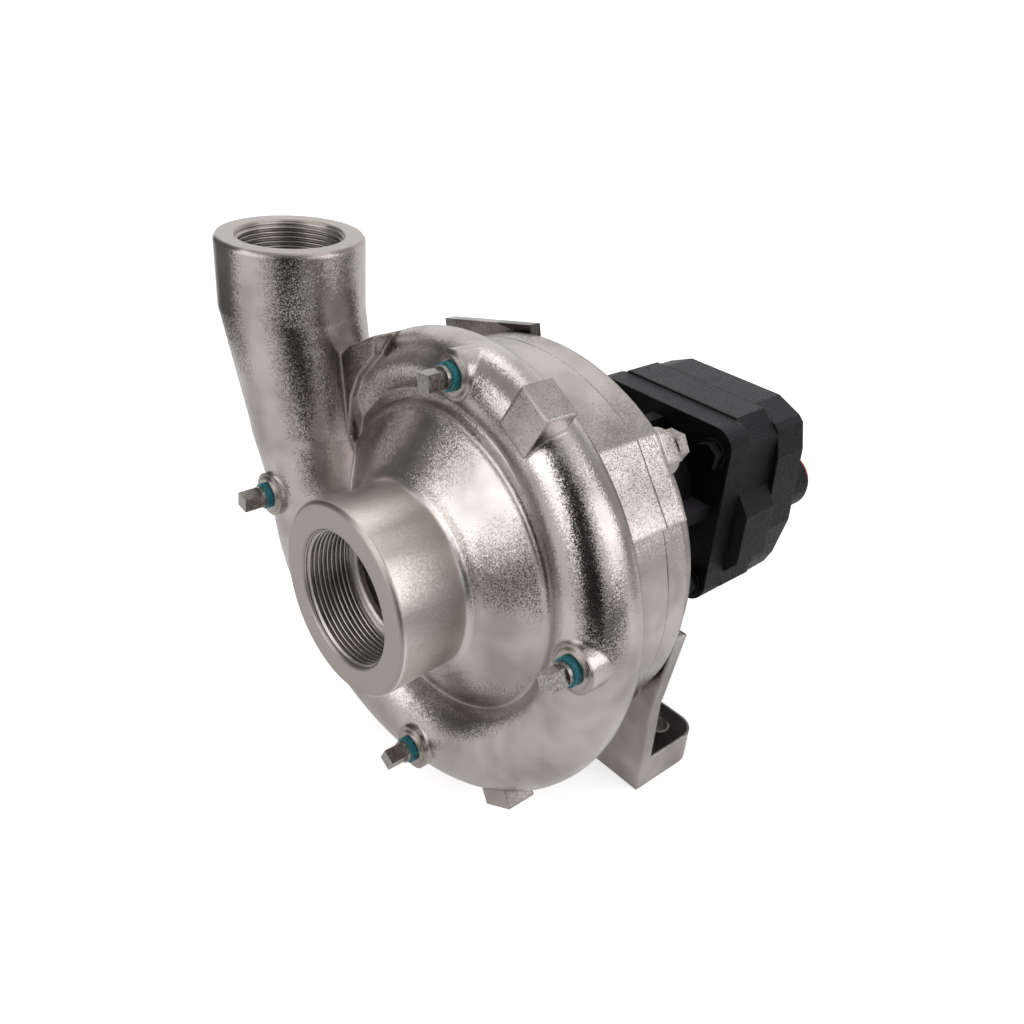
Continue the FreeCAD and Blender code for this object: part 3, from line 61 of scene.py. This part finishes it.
# Real dents are about 0.1 mm across. They are drawn at 0.36 mm, or they would be too fine to
# show. A tip of 0.2 gives them slopes of up to 0.1 each way.
DENT_SIZE = 0.00036
CASING_TIP = 0.2
CLOUD_SIZE = 0.03
EDGE_ROUNDING = 0.002
CAST_ROUGHNESS = (0.17, 0.22)
RUBBED_ROUGHNESS = 0.17
RUBBED_BLUNTING = 0.45
CAST_LIGHT = "#BFB9B7"
CAST_MAIN = "#B0A9A6"
CAST_DARK = "#9C9592"
TURNED_GREY = "#A39C96"
# Lighter grey of the rubbed nozzle: partly its polish, partly a painted shine.
RUBBED_PAINTED_SHINE = "#DAD3CC"
# The line left by the two halves of the mould: its place along the shaft, width and steepness.
SEAM_PLACE = -0.047
SEAM_WIDTH = 0.0005
SEAM_STEP = 0.0001
SEAM_SLOPE = 0.6


def linear(colour):
    """sRGB hex to linear RGBA: c / 12.92 up to 0.04045, else ((c + 0.055) / 1.055) ** 2.4."""
    channels = np.array([int(colour[place:place + 2], 16) for place in (1, 3, 5)]) / 255
    low, high = channels / 12.92, ((channels + 0.055) / 1.055) ** 2.4
    return tuple(np.where(channels <= 0.04045, low, high)) + (1.0,)


def add_node(tree, kind, inputs=(), output=None, stops=(), **settings):
    """Add a node with its settings and links. inputs are numbers, colours or outputs of other
    nodes, in order or by name; stops are a ramp's (place, hex colour) pairs. Returns the
    named output, or else the first that is in use."""
    item = tree.nodes.new("ShaderNode" + kind)
    for name, setting in settings.items():
        setattr(item, name, setting)
    for name, given in dict(inputs if isinstance(inputs, dict) else enumerate(inputs)).items():
        if isinstance(given, bpy.types.NodeSocket):
            tree.links.new(given, item.inputs[name])
        else:
            item.inputs[name].default_value = given
    while stops and len(item.color_ramp.elements) < len(stops):
        item.color_ramp.elements.new(0.5)
    for index, (place, colour) in enumerate(stops):
        item.color_ramp.elements[index].position = place
        item.color_ramp.elements[index].color = linear(colour)
    if output:
        return item.outputs[output]
    return next((socket for socket in item.outputs if socket.enabled), None)


def new_material(name):
    """A material whose tree is still empty; returns both."""
    material = bpy.data.materials.new(name)
    material.use_nodes = True
    material.node_tree.nodes.clear()
    return material, material.node_tree


def seam_lean(tree, place):
    """How far the mould's parting line tips the surface along the shaft: forwards on its front
    flank and backwards on its rear one, from 2 * middle - front - rear of three steps."""
    along = add_node(tree, "SeparateXYZ", (place,), "Y")
    edges = [SEAM_PLACE + side * SEAM_WIDTH for side in (-1, 0, 1)]
    front, middle, rear = [add_node(tree, "MapRange", (along, edge, edge + SEAM_STEP, 0.0, 1.0))
                           for edge in edges]
    flanks = add_node(tree, "Math", (middle, 2.0), operation="MULTIPLY")
    flanks = add_node(tree, "Math", (flanks, front), operation="SUBTRACT")
    flanks = add_node(tree, "Math", (flanks, rear), operation="SUBTRACT")
    slope = add_node(tree, "Math", (flanks, SEAM_SLOPE), operation="MULTIPLY")
    return add_node(tree, "CombineXYZ", {"Y": slope})


def cast_stainless(name, light, main, dark, tip, finish=None, seam=False):
    """Bead-blasted cast stainless steel. Its skin is a mosaic of tiny dents, each tipped its own
    way, so that the edges of its highlights break into sparkling specks, and it is cloudy in
    tone. finish is a function that gives the colour, the share of the dents that is left and
    the added roughness where the piece was worked afterwards, and seam adds the line that the
    two halves of the mould left."""
    material, tree = new_material(name)
    place = add_node(tree, "TexCoord", output="Object")
    dents = add_node(tree, "TexVoronoi", {"Vector": place, "Scale": 1 / DENT_SIZE}, "Color")
    clouds = {"Vector": place, "Scale": 1 / CLOUD_SIZE, "Detail": 2.0, "Roughness": 0.6}
    cloud = add_node(tree, "TexNoise", clouds)
    colour = add_node(tree, "ValToRGB", (cloud,), stops=((0.35, dark), (0.5, main), (0.65, light)))
    dented, rougher = 1.0, 0.0
    if finish:
        colour, dented, rougher = finish(tree, place, colour)
    lean = add_node(tree, "VectorMath", (dents, (0.5, 0.5, 0.5)), operation="SUBTRACT")
    amount = add_node(tree, "Math", (dented, tip), operation="MULTIPLY")
    lean = add_node(tree, "VectorMath", {0: lean, "Scale": amount}, operation="SCALE")
    normal = add_node(tree, "Bevel", {"Radius": EDGE_ROUNDING}, samples=4)
    normal = add_node(tree, "VectorMath", (normal, lean), operation="ADD")
    if seam:
        normal = add_node(tree, "VectorMath", (normal, seam_lean(tree, place)), operation="ADD")
    normal = add_node(tree, "VectorMath", (normal,), operation="NORMALIZE")
    worn = add_node(tree, "Math", (cloud, dented), operation="MULTIPLY")
    rough = add_node(tree, "MapRange", (worn, 0.0, 0.7, *CAST_ROUGHNESS))
    rough = add_node(tree, "Math", (rough, rougher), operation="ADD")
    metal = {"Base Color": colour, "Metallic": 1.0, "Roughness": rough, "Normal": normal}
    add_node(tree, "OutputMaterial", (add_node(tree, "BsdfPrincipled", metal),))
    return material


def inside_circle(tree, place, across, up, radius):
    """1 inside a circle that lies across the shaft, 0 outside it: a soft step in the distance."""
    flat = add_node(tree, "VectorMath", (place, (1, 0, 1)), operation="MULTIPLY")
    away = add_node(tree, "VectorMath", (flat, (across, 0, up)), operation="DISTANCE")
    return add_node(tree, "MapRange", (away, radius, radius + SOFT_EDGE, 1.0, 0.0))


def in_front_of(tree, along, edge, fade, circle=1.0):
    """circle where the surface lies in front of an edge along the shaft, 0 behind it."""
    front = add_node(tree, "MapRange", (along, edge, edge + fade, 1.0, 0.0))
    return add_node(tree, "Math", (circle, front), operation="MULTIPLY")


def boss_faces():
    """Middle and front of each plug boss, from the ring of sealant that lies on it."""
    corners = np.array([corner.co for corner in nodes["plug_sealant_rings"].data.vertices])
    quarter = np.round(np.arctan2(corners[:, 2] - SHAFT_HEIGHT, corners[:, 0]) / (np.pi / 2)) % 4
    rings = [corners[quarter == index] for index in range(4)]
    return [((ring.min(0) + ring.max(0)) / 2, ring[:, 1].max()) for ring in rings]


def casing_finish(tree, place, colour):
    """The casing after blasting: the turned faces are smooth and evenly grey, which gives them
    a soft even shine. The rubbed nozzle has blunter dents and softer streaks, and its lighter
    colour is partly its polish and partly a painted shine."""
    along = add_node(tree, "SeparateXYZ", (place,), "Y")
    up = add_node(tree, "SeparateXYZ", (place,), "Z")
    top_edge = CASING_TOP - TURNED_DEPTH
    turned = add_node(tree, "MapRange", (up, top_edge - SOFT_EDGE / 2, top_edge, 0.0, 1.0))
    faces = [in_front_of(tree, along, CASING_FRONT + TURNED_DEPTH, SOFT_EDGE / 2)]
    for middle, front in boss_faces():
        disc = inside_circle(tree, place, middle[0], middle[2], BOSS_FACE_RADIUS)
        faces.append(in_front_of(tree, along, front + BOSS_FACE_DEPTH, SOFT_EDGE, disc))
    for face in faces:
        turned = add_node(tree, "Math", (turned, face), operation="MAXIMUM")
    rubbed_with_shine = inside_circle(tree, place, 0, SHAFT_HEIGHT, NOZZLE_RADIUS)
    rubbed_with_shine = in_front_of(tree, along, NOZZLE_END - NOZZLE_FADE, NOZZLE_FADE, rubbed_with_shine)
    # Painted shine, in part: the rubbed nozzle is painted a lighter grey.
    nozzle_shine = {"Factor": rubbed_with_shine, "A": colour, "B": linear(RUBBED_PAINTED_SHINE)}
    colour = add_node(tree, "Mix", nozzle_shine, data_type="RGBA")
    smooth = {"Factor": turned, "A": colour, "B": linear(TURNED_GREY)}
    colour = add_node(tree, "Mix", smooth, data_type="RGBA")
    blunted = add_node(tree, "Math", (rubbed_with_shine, RUBBED_BLUNTING), operation="MULTIPLY")
    worked = add_node(tree, "Math", (turned, blunted), operation="ADD")
    dented = add_node(tree, "Math", (1.0, worked), operation="SUBTRACT", use_clamp=True)
    rougher = add_node(tree, "Math", (rubbed_with_shine, RUBBED_ROUGHNESS), operation="MULTIPLY")
    return colour, dented, rougher


nodes["volute_casing"].data.materials[0] = cast_stainless(
    "bead_blasted_stainless", CAST_LIGHT, CAST_MAIN, CAST_DARK, CASING_TIP, casing_finish, seam=True)


# Pipe threads of the two nozzles, 11.5 ridges to the inch, cut into the bores with a tap.
# Each is a thin sleeve that lines its bore from just inside the mouth.
THREAD_PITCH = 0.0254 / 11.5
THREAD_HEIGHT = 0.0013
THREAD_INSET = 0.0011
THREAD_CLEARANCE = 0.00001
THREAD_COLUMNS = 144
POINTS_PER_PITCH = 10
RIDGE_CREST = 1.5
RIDGE_FLANK = 3.2
THREAD_START = 0.25
SUCTION_THREAD_LENGTH = 0.0222
DISCHARGE_THREAD_LENGTH = 0.0186
# Real tool marks are 0.1 to 0.2 mm apart. Here and on the other turned pieces they are drawn
# about 1 mm wide, or they would be too fine to show.
THREAD_LINES = 0.0016
POLISH_SPREAD = 0.06


def turned_steel(name, colour, roughness, line_width):
    """Machined steel: fine turning lines vary its grey and its polish, so that the shine
    breaks into faint streaks."""
    material, tree = new_material(name)
    place = add_node(tree, "TexCoord", output="Object")
    pattern = {"Vector": place, "Scale": 1 / line_width, "Detail": 2.0, "Roughness": 0.6}
    lines = add_node(tree, "TexNoise", pattern)
    grey = add_node(tree, "ValToRGB", (lines,), stops=((0.3, colour), (0.75, CAST_LIGHT)))
    spread = (roughness - POLISH_SPREAD, roughness + POLISH_SPREAD)
    polish = add_node(tree, "MapRange", (lines, 0.3, 0.7, *spread))
    metal = {"Base Color": grey, "Metallic": 1.0, "Roughness": polish}
    add_node(tree, "OutputMaterial", (add_node(tree, "BsdfPrincipled", metal),))
    return material


def closed_grid(name, points, material):
    """A mesh of quads over a rows x columns grid of points that closes on itself both ways."""
    rows, columns = points.shape[:2]
    row, column = [part.ravel() for part in np.indices((rows, columns))]
    next_row, next_column = (row + 1) % rows, (column + 1) % columns
    quads = np.stack([row * columns + column, row * columns + next_column,
                      next_row * columns + next_column, next_row * columns + column], 1)
    mesh = bpy.data.meshes.new(name)
    mesh.from_pydata(points.reshape(-1, 3).tolist(), [], quads.tolist())
    mesh.materials.append(material)
    mesh.shade_smooth()
    piece = bpy.data.objects.new(name, mesh)
    bpy.context.scene.collection.objects.link(piece)
    return piece


def thread_ring(name, mouth, down, radius, length, material):
    """Sleeve that runs down a bore from its mouth. Its inner wall is radius - height * ridge,
    where ridge is crest - flank * abs(phase - 1/2), kept between 0 and 1, and phase is the
    fraction of depth / pitch - angle / turn. The ridge fades out over the last pitch at each
    end, and the outer wall is a plain cylinder."""
    side = np.array((1.0, 0, 0))
    third = np.cross(down, side)
    turns = np.linspace(0, 2 * np.pi, THREAD_COLUMNS, endpoint=False)
    depths = np.linspace(0, length, int(length / THREAD_PITCH * POINTS_PER_PITCH))
    angle, depth = np.meshgrid(turns, depths, indexing="ij")
    phase = (depth / THREAD_PITCH - angle / (2 * np.pi)) % 1
    ridge = np.clip(RIDGE_CREST - RIDGE_FLANK * np.abs(phase - 0.5), 0, 1)
    fade = np.clip(np.minimum(depth, length - depth) / THREAD_PITCH + THREAD_START, 0, 1)
    inner = radius - 2 * THREAD_CLEARANCE - THREAD_HEIGHT * ridge * fade
    outer = np.full((THREAD_COLUMNS, 2), radius - THREAD_CLEARANCE)
    reach = np.concatenate([inner, outer], 1)[..., None]
    depth = np.concatenate([depth, depth[:, [-1, 0]]], 1)[..., None]
    angle = np.concatenate([angle, angle[:, :2]], 1)[..., None]
    around = np.cos(angle) * side + np.sin(angle) * third
    piece = closed_grid(name, np.array(mouth) + depth * down + reach * around, material)
    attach(piece, "stator")


thread_metal = turned_steel("cut_thread_steel", "#A8A29A", 0.34, THREAD_LINES)
thread_ring("suction_thread", (0, CASING_FRONT + THREAD_INSET, SHAFT_HEIGHT), np.array((0, 1.0, 0)),
            mounts["suction"]["dims"]["r_mm"] / 1000, SUCTION_THREAD_LENGTH, thread_metal)
thread_ring("discharge_thread", (*mounts["discharge"]["pos_m"][:2], CASING_TOP - THREAD_INSET),
            np.array((0, 0, -1.0)), mounts["discharge"]["dims"]["r_mm"] / 1000,
            DISCHARGE_THREAD_LENGTH, thread_metal)


# Mounting flange with its rim, legs and feet: a second sand casting of the same stainless
# steel, blasted more gently. Above the height of its top pad it is coloured a dark grey.
FLANGE_TIP = 0.12
TOP_PAD_HEIGHT = 0.202
PAD_EDGE = 0.0005
PAD_GREY = "#4C4846"


def flange_finish(tree, place, colour):
    """The flange after blasting: above the top pad's height it is coloured a dark grey."""
    up = add_node(tree, "SeparateXYZ", (place,), "Z")
    pad = add_node(tree, "MapRange", (up, TOP_PAD_HEIGHT, TOP_PAD_HEIGHT + PAD_EDGE, 0.0, 1.0))
    skin = {"Factor": pad, "A": colour, "B": linear(PAD_GREY)}
    return add_node(tree, "Mix", skin, data_type="RGBA"), 1.0, 0.0


nodes["mounting_flange"].data.materials[0] = cast_stainless(
    "flange_cast_stainless", "#B6B1AE", "#A49E9B", "#8F8986", FLANGE_TIP, flange_finish)


# Drain plugs with square heads, turned from plain steel and screwed into the volute's bosses.
PLUG_LINES = 0.0012
nodes["drain_plugs"].data.materials[0] = turned_steel("plain_plug_steel", "#7E7A74", 0.34, PLUG_LINES)


# Thread sealant round each plug: a teal paste that squeezed out and dried in lumps of about
# 1 mm, which catch a dull light.
LUMP_SIZE = 0.0012
LUMP_HEIGHT = 0.0005
sealant, tree = new_material("dried_thread_sealant")
place = add_node(tree, "TexCoord", output="Object")
paste = {"Vector": place, "Scale": 1 / LUMP_SIZE, "Detail": 3.0, "Roughness": 0.6}
lumps = add_node(tree, "TexNoise", paste)
teal = add_node(tree, "ValToRGB", (lumps,), stops=((0.35, "#0A4E58"), (0.6, "#12808C")))
bump = add_node(tree, "Bump", {"Height": lumps, "Distance": LUMP_HEIGHT})
dried = {"Base Color": teal, "Roughness": 0.42, "Normal": bump}
add_node(tree, "OutputMaterial", (add_node(tree, "BsdfPrincipled", dried),))
nodes["plug_sealant_rings"].data.materials[0] = sealant


# Screws and washers that hold the casing, and the impeller's nut and washer: plain stainless
# steel, forged and turned, a darker and duller grey than the castings.
FASTENER_LINES = 0.001
fastener_metal = turned_steel("plain_fastener_steel", "#6F6B66", 0.42, FASTENER_LINES)
for name in ("casing_screws", "casing_washers", "impeller_nut", "impeller_washer"):
    nodes[name].data.materials[0] = fastener_metal


# Closed impeller with six vanes: an investment casting of stainless steel, left as cast, with
# stronger changes of tone than the blasted casing.
nodes["impeller"].data.materials[0] = cast_stainless(
    "impeller_stainless", "#C9C4BE", "#A6A09A", "#807A74", CASING_TIP)


# Shafts, keys, dowels, gears, bearing and springs: hardened steels, ground or drawn. Each has
# its own grey and polish, and the ground ones reflect almost like a mirror.
GRINDING_LINES = 0.0008
STEELS = {
    ("ground_shaft_steel", "#A9A9A6", 0.2):
        ("pump_shaft", "impeller_key", "drive_gear_key", "idler_shaft", "dowel_pins"),
    ("hardened_gear_steel", "#85868A", 0.26): ("drive_gear", "idler_gear"),
    ("polished_bearing_steel", "#C4C4C2", 0.12):
        ("bearing_inner_race", "bearing_outer_race", "bearing_balls"),
    ("spring_steel", "#8F8E8A", 0.3): ("seal_spring", "seal_retainer", "bearing_snap_ring"),
}
for (name, colour, roughness), pieces in STEELS.items():
    steel = turned_steel(name, colour, roughness, GRINDING_LINES)
    for piece in pieces:
        nodes[piece].data.materials[0] = steel


# Bushings and wear plates of the gear motor in sintered bronze, and the bearing's cage in
# pressed brass. Real pores are about 0.05 mm and are drawn at 0.6 mm, so that they show.
PORE_SIZE = 0.0006
YELLOW_ROUGHNESS = 0.34


def yellow_metal(name, dark, light):
    """Sintered bronze or brass: open pores mottle its dull yellow shine."""
    material, tree = new_material(name)
    place = add_node(tree, "TexCoord", output="Object")
    pattern = {"Vector": place, "Scale": 1 / PORE_SIZE, "Detail": 2.0, "Roughness": 0.6}
    pores = add_node(tree, "TexNoise", pattern)
    yellow = add_node(tree, "ValToRGB", (pores,), stops=((0.3, dark), (0.7, light)))
    metal = {"Base Color": yellow, "Metallic": 1.0, "Roughness": YELLOW_ROUGHNESS}
    add_node(tree, "OutputMaterial", (add_node(tree, "BsdfPrincipled", metal),))
    return material


bushing_bronze = yellow_metal("sintered_bronze", "#8C6A32", "#B8924E")
for name in ("shaft_bushings", "idler_bushings", "front_wear_plate", "rear_wear_plate"):
    nodes[name].data.materials[0] = bushing_bronze
nodes["bearing_cage"].data.materials[0] = yellow_metal("pressed_brass", "#A58A3C", "#C8AC5C")


# Rings and bellows of moulded rubber, the seal's ceramic seat and carbon ring, and the gear
# housing's gaskets of pressed board, painted over with the motor. The mould's real grain of
# about 0.2 mm is drawn at 0.8 mm, so that it shows.
MOULD_GRAIN = 0.0008
MOULD_RELIEF = 0.00003


def moulded(name, dark, light, roughness):
    """Moulded rubber, plastic, ceramic or board: an even tone, and a faint grain from the
    mould that softens its gloss."""
    material, tree = new_material(name)
    place = add_node(tree, "TexCoord", output="Object")
    pattern = {"Vector": place, "Scale": 1 / MOULD_GRAIN, "Detail": 2.0, "Roughness": 0.6}
    grain = add_node(tree, "TexNoise", pattern)
    tone = add_node(tree, "ValToRGB", (grain,), stops=((0.3, dark), (0.7, light)))
    bump = add_node(tree, "Bump", {"Height": grain, "Distance": MOULD_RELIEF})
    skin = {"Base Color": tone, "Roughness": roughness, "Normal": bump}
    add_node(tree, "OutputMaterial", (add_node(tree, "BsdfPrincipled", skin),))
    return material


seal_rubber = moulded("black_nitrile_rubber", "#141414", "#202020", 0.6)
for name in ("casing_o_ring", "seal_seat_cup", "seal_bellows", "slinger", "oil_seal"):
    nodes[name].data.materials[0] = seal_rubber
nodes["seal_seat"].data.materials[0] = moulded("white_ceramic", "#DEDAD2", "#EDEAE4", 0.3)
nodes["seal_carbon_ring"].data.materials[0] = moulded("lapped_carbon", "#222226", "#303036", 0.35)
nodes["housing_gaskets"].data.materials[0] = moulded("painted_gasket_board", "#121213", "#1C1C1D", 0.7)


# Motor bracket, gear housing and end cover: rough sand castings of grey iron in thin black
# paint. Their screws and bolts are forged steel in a thin black oxide. Grains of moulding
# sand are about 0.4 mm and are drawn at about 1 mm, so that they show.
PAINT_GRAIN = 0.0011
PAINT_RELIEF = 0.0014
OXIDE_GRAIN = 0.0008
OXIDE_RELIEF = 0.0001
WAVE_SIZE = 0.006
WAVE_SHARE = 0.3
WORN_EDGE = 0.0012
PAINT_ROUGHNESS = (0.3, 0.5)
PAINT_SPECULAR = 0.16


def black_iron(name, grain, relief, top_sheen_colour):
    """Black finish over rough iron or steel: the grain shows through as lit specks, and a
    painted sheen greys the faces that look up, standing in for the light that falls on them."""
    material, tree = new_material(name)
    place = add_node(tree, "TexCoord", output="Object")
    rough_sand = {"Vector": place, "Scale": 1 / grain, "Detail": 4.0, "Roughness": 0.6}
    long_waves = {"Vector": place, "Scale": 1 / WAVE_SIZE, "Detail": 2.0, "Roughness": 0.6}
    sand = add_node(tree, "TexNoise", rough_sand)
    skin = {"Factor": WAVE_SHARE, "A": sand, "B": add_node(tree, "TexNoise", long_waves)}
    height = add_node(tree, "Mix", skin, data_type="FLOAT")
    edge = add_node(tree, "Bevel", {"Radius": WORN_EDGE}, samples=4)
    bump = add_node(tree, "Bump", {"Height": height, "Distance": relief, "Normal": edge})
    # Painted sheen: the faces that look up are painted a lighter grey, as light from above makes them.
    upward = add_node(tree, "SeparateXYZ", (bump,), "Z")
    upward = add_node(tree, "MapRange", (upward, 0.5, 0.95, 0.0, 1.0))
    paint = add_node(tree, "ValToRGB", (height,), stops=((0.35, "#050506"), (0.65, "#0C0C0E")))
    top_sheen_mix = {"Factor": upward, "A": paint, "B": linear(top_sheen_colour)}
    colour = add_node(tree, "Mix", top_sheen_mix, data_type="RGBA")
    gloss = add_node(tree, "MapRange", (sand, 0.3, 0.7, *PAINT_ROUGHNESS))
    coat = {"Base Color": colour, "Roughness": gloss, "Normal": bump}
    coat["Specular IOR Level"] = PAINT_SPECULAR
    add_node(tree, "OutputMaterial", (add_node(tree, "BsdfPrincipled", coat),))
    return material


# The last colour of each finish is its painted sheen on the faces that look up.
motor_paint = black_iron("black_paint_on_cast_iron", PAINT_GRAIN, PAINT_RELIEF, "#3C383E")
for name in ("motor_bracket", "gear_housing", "end_cover"):
    nodes[name].data.materials[0] = motor_paint
bolt_black = black_iron("black_oxide_steel", OXIDE_GRAIN, OXIDE_RELIEF, "#1C1B1D")
for name in ("motor_bolts", "motor_bolt_washers", "bracket_screws", "bracket_washers"):
    nodes[name].data.materials[0] = bolt_black


# Caps of soft red plastic, moulded hollow and pushed into the motor's two ports.
nodes["port_caps"].data.materials[0] = moulded("red_polyethylene", "#A8242C", "#C43A40", 0.35)


# Studio: a white floor that runs into a white room. The floor keeps the pump's shadow. Metal
# mirrors the room as white, and the floor a little darker than the camera sees it.
FLOOR_SIDE = 30.0
FLOOR_SEEN = 0.62
FLOOR_MIRRORED = 0.22
ROOM_LIGHT = 0.5
WHITE = linear("#FFFFFF")


def stage_plane(name, corners, material):
    """Flat piece of the studio through four corners."""
    mesh = bpy.data.meshes.new(name)
    mesh.from_pydata([tuple(map(float, corner)) for corner in corners], [], [tuple(range(len(corners)))])
    mesh.materials.append(material)
    plane = bpy.data.objects.new(name, mesh)
    bpy.context.scene.collection.objects.link(plane)


def mirrored_rays(tree):
    """Two outputs: 1 on rays that a mirror or glass sends on, and 1 on rays of the camera."""
    paths = add_node(tree, "LightPath").node.outputs
    sent_on = (paths["Is Glossy Ray"], paths["Is Transmission Ray"])
    return add_node(tree, "Math", sent_on, operation="ADD"), paths["Is Camera Ray"]


floor_white, tree = new_material("white_floor")
mirrored, seen = mirrored_rays(tree)
mirrored = add_node(tree, "Math", (mirrored, FLOOR_MIRRORED), operation="MULTIPLY")
seen = add_node(tree, "Math", (seen, FLOOR_SEEN), operation="MULTIPLY")
level = add_node(tree, "Math", (mirrored, seen), operation="ADD")
matte = add_node(tree, "BsdfDiffuse", {"Color": linear("#F4F4F4")})
glow = add_node(tree, "Emission", {"Color": WHITE, "Strength": level})
add_node(tree, "OutputMaterial", (add_node(tree, "AddShader", (matte, glow)),))
half = FLOOR_SIDE / 2
stage_plane("floor", [(-half, -half, 0), (half, -half, 0), (half, half, 0), (-half, half, 0)], floor_white)

world = bpy.data.worlds.new("white_room")
bpy.context.scene.world = world
world.use_nodes = True
tree = world.node_tree
tree.nodes.clear()
mirrored, seen = mirrored_rays(tree)
shown = add_node(tree, "Math", (mirrored, seen), operation="ADD", use_clamp=True)
room = add_node(tree, "Background", {"Color": WHITE, "Strength": ROOM_LIGHT})
backdrop = add_node(tree, "Background", {"Color": WHITE, "Strength": 1.0})
add_node(tree, "OutputWorld", (add_node(tree, "MixShader", (shown, room, backdrop)),))


# Cards round the pump that only reflections see: they give the metal the dark and grey bands
# between its highlights. A card's tone runs from 0, black, to 1, white.
CENTRE = np.array((-0.02, -0.06, 0.12))


def toward(azimuth, elevation):
    """Unit vector; azimuth is measured from the front to the right, both in degrees."""
    turn, rise = math.radians(azimuth), math.radians(elevation)
    return np.array((math.sin(turn) * math.cos(rise), -math.cos(turn) * math.cos(rise), math.sin(rise)))


def mirrored_plane(name, corners, tone):
    """Plane that is clear to every ray but a reflected one."""
    material, tree = new_material(name)
    paint = add_node(tree, "Emission", {"Color": WHITE, "Strength": tone})
    clear = add_node(tree, "BsdfTransparent")
    mirrored = add_node(tree, "LightPath", output="Is Glossy Ray")
    add_node(tree, "OutputMaterial", (add_node(tree, "MixShader", (mirrored, clear, paint)),))
    stage_plane(name, corners, material)


def card(name, azimuth, distance, width, height, tone):
    """Upright card on the floor that faces the pump."""
    foot = CENTRE * (1, 1, 0) + toward(azimuth, 0) * distance
    across = toward(azimuth + 90, 0) * width / 2
    rise = np.array((0, 0, height))
    mirrored_plane(name, [foot - across, foot + across, foot + across + rise, foot - across + rise], tone)


card("camera_side_card", 48, 0.5, 0.38, 1.1, 0.02)
card("table_edge_card", 50, 0.43, 0.76, 0.07, 0.03)
card("left_card", -61, 0.5, 0.47, 0.6, 0.16)
card("right_card", 92, 0.62, 0.44, 0.18, 0.2)
card("back_right_card", 160, 0.6, 0.5, 0.86, 0.5)
TOP_CARD = [(-0.8, -0.75, 0.9), (0.7, -0.75, 0.9), (0.7, -0.05, 0.9), (-0.8, -0.05, 0.9)]
mirrored_plane("top_card", TOP_CARD, 0.52)


# Three soft boxes round the pump. From where the camera stands, one is on the left, one on
# the right, and a small one high up behind the pump.
BOX_DISTANCE = 1.25


def soft_box(name, azimuth, elevation, width, height, radiance):
    """Lamp that faces the pump; radiance 1 looks white in a perfect mirror."""
    light = bpy.data.lights.new(name, "AREA")
    light.shape = "RECTANGLE"
    light.size = width
    light.size_y = height
    light.energy = radiance * math.pi * width * height
    item = bpy.data.objects.new(name, light)
    outward = Vector(toward(azimuth, elevation))
    item.location = Vector(CENTRE) + outward * BOX_DISTANCE
    item.rotation_euler = outward.to_track_quat("Z", "Y").to_euler()
    bpy.context.scene.collection.objects.link(item)


soft_box("left_softbox", -5, 23, 0.95, 0.95, 1.4)
soft_box("right_softbox", 117.5, 30, 1.09, 0.88, 1.3)
soft_box("back_softbox", -120, 66, 0.6, 0.6, 1.3)


# Camera: the photograph's angle, from above and to the right of the suction nozzle, as its
# perspective gives it.
CAMERA_PLACE = Vector((0.28819, -0.32901, 0.35619))
AZIMUTH = 46.23
ELEVATION = 29.77
ROLL = math.radians(4.85)
FOCAL_PIXELS = 993.9
FRAME_PIXELS = 1024
back = Vector(toward(AZIMUTH, ELEVATION))
right = Vector(toward(AZIMUTH + 90, 0))
up = back.cross(right)
rolled_right = math.cos(ROLL) * right + math.sin(ROLL) * up
rolled_up = -math.sin(ROLL) * right + math.cos(ROLL) * up
turn = Matrix((rolled_right, rolled_up, back)).transposed().to_4x4()
lens = bpy.data.cameras.new("camera")
lens.lens = lens.sensor_width * FOCAL_PIXELS / FRAME_PIXELS
lens.clip_start = 0.01
camera = bpy.data.objects.new("camera", lens)
camera.matrix_world = Matrix.Translation(CAMERA_PLACE) @ turn
bpy.context.scene.collection.objects.link(camera)
bpy.context.scene.camera = camera
bpy.context.scene.view_settings.view_transform = "Standard"
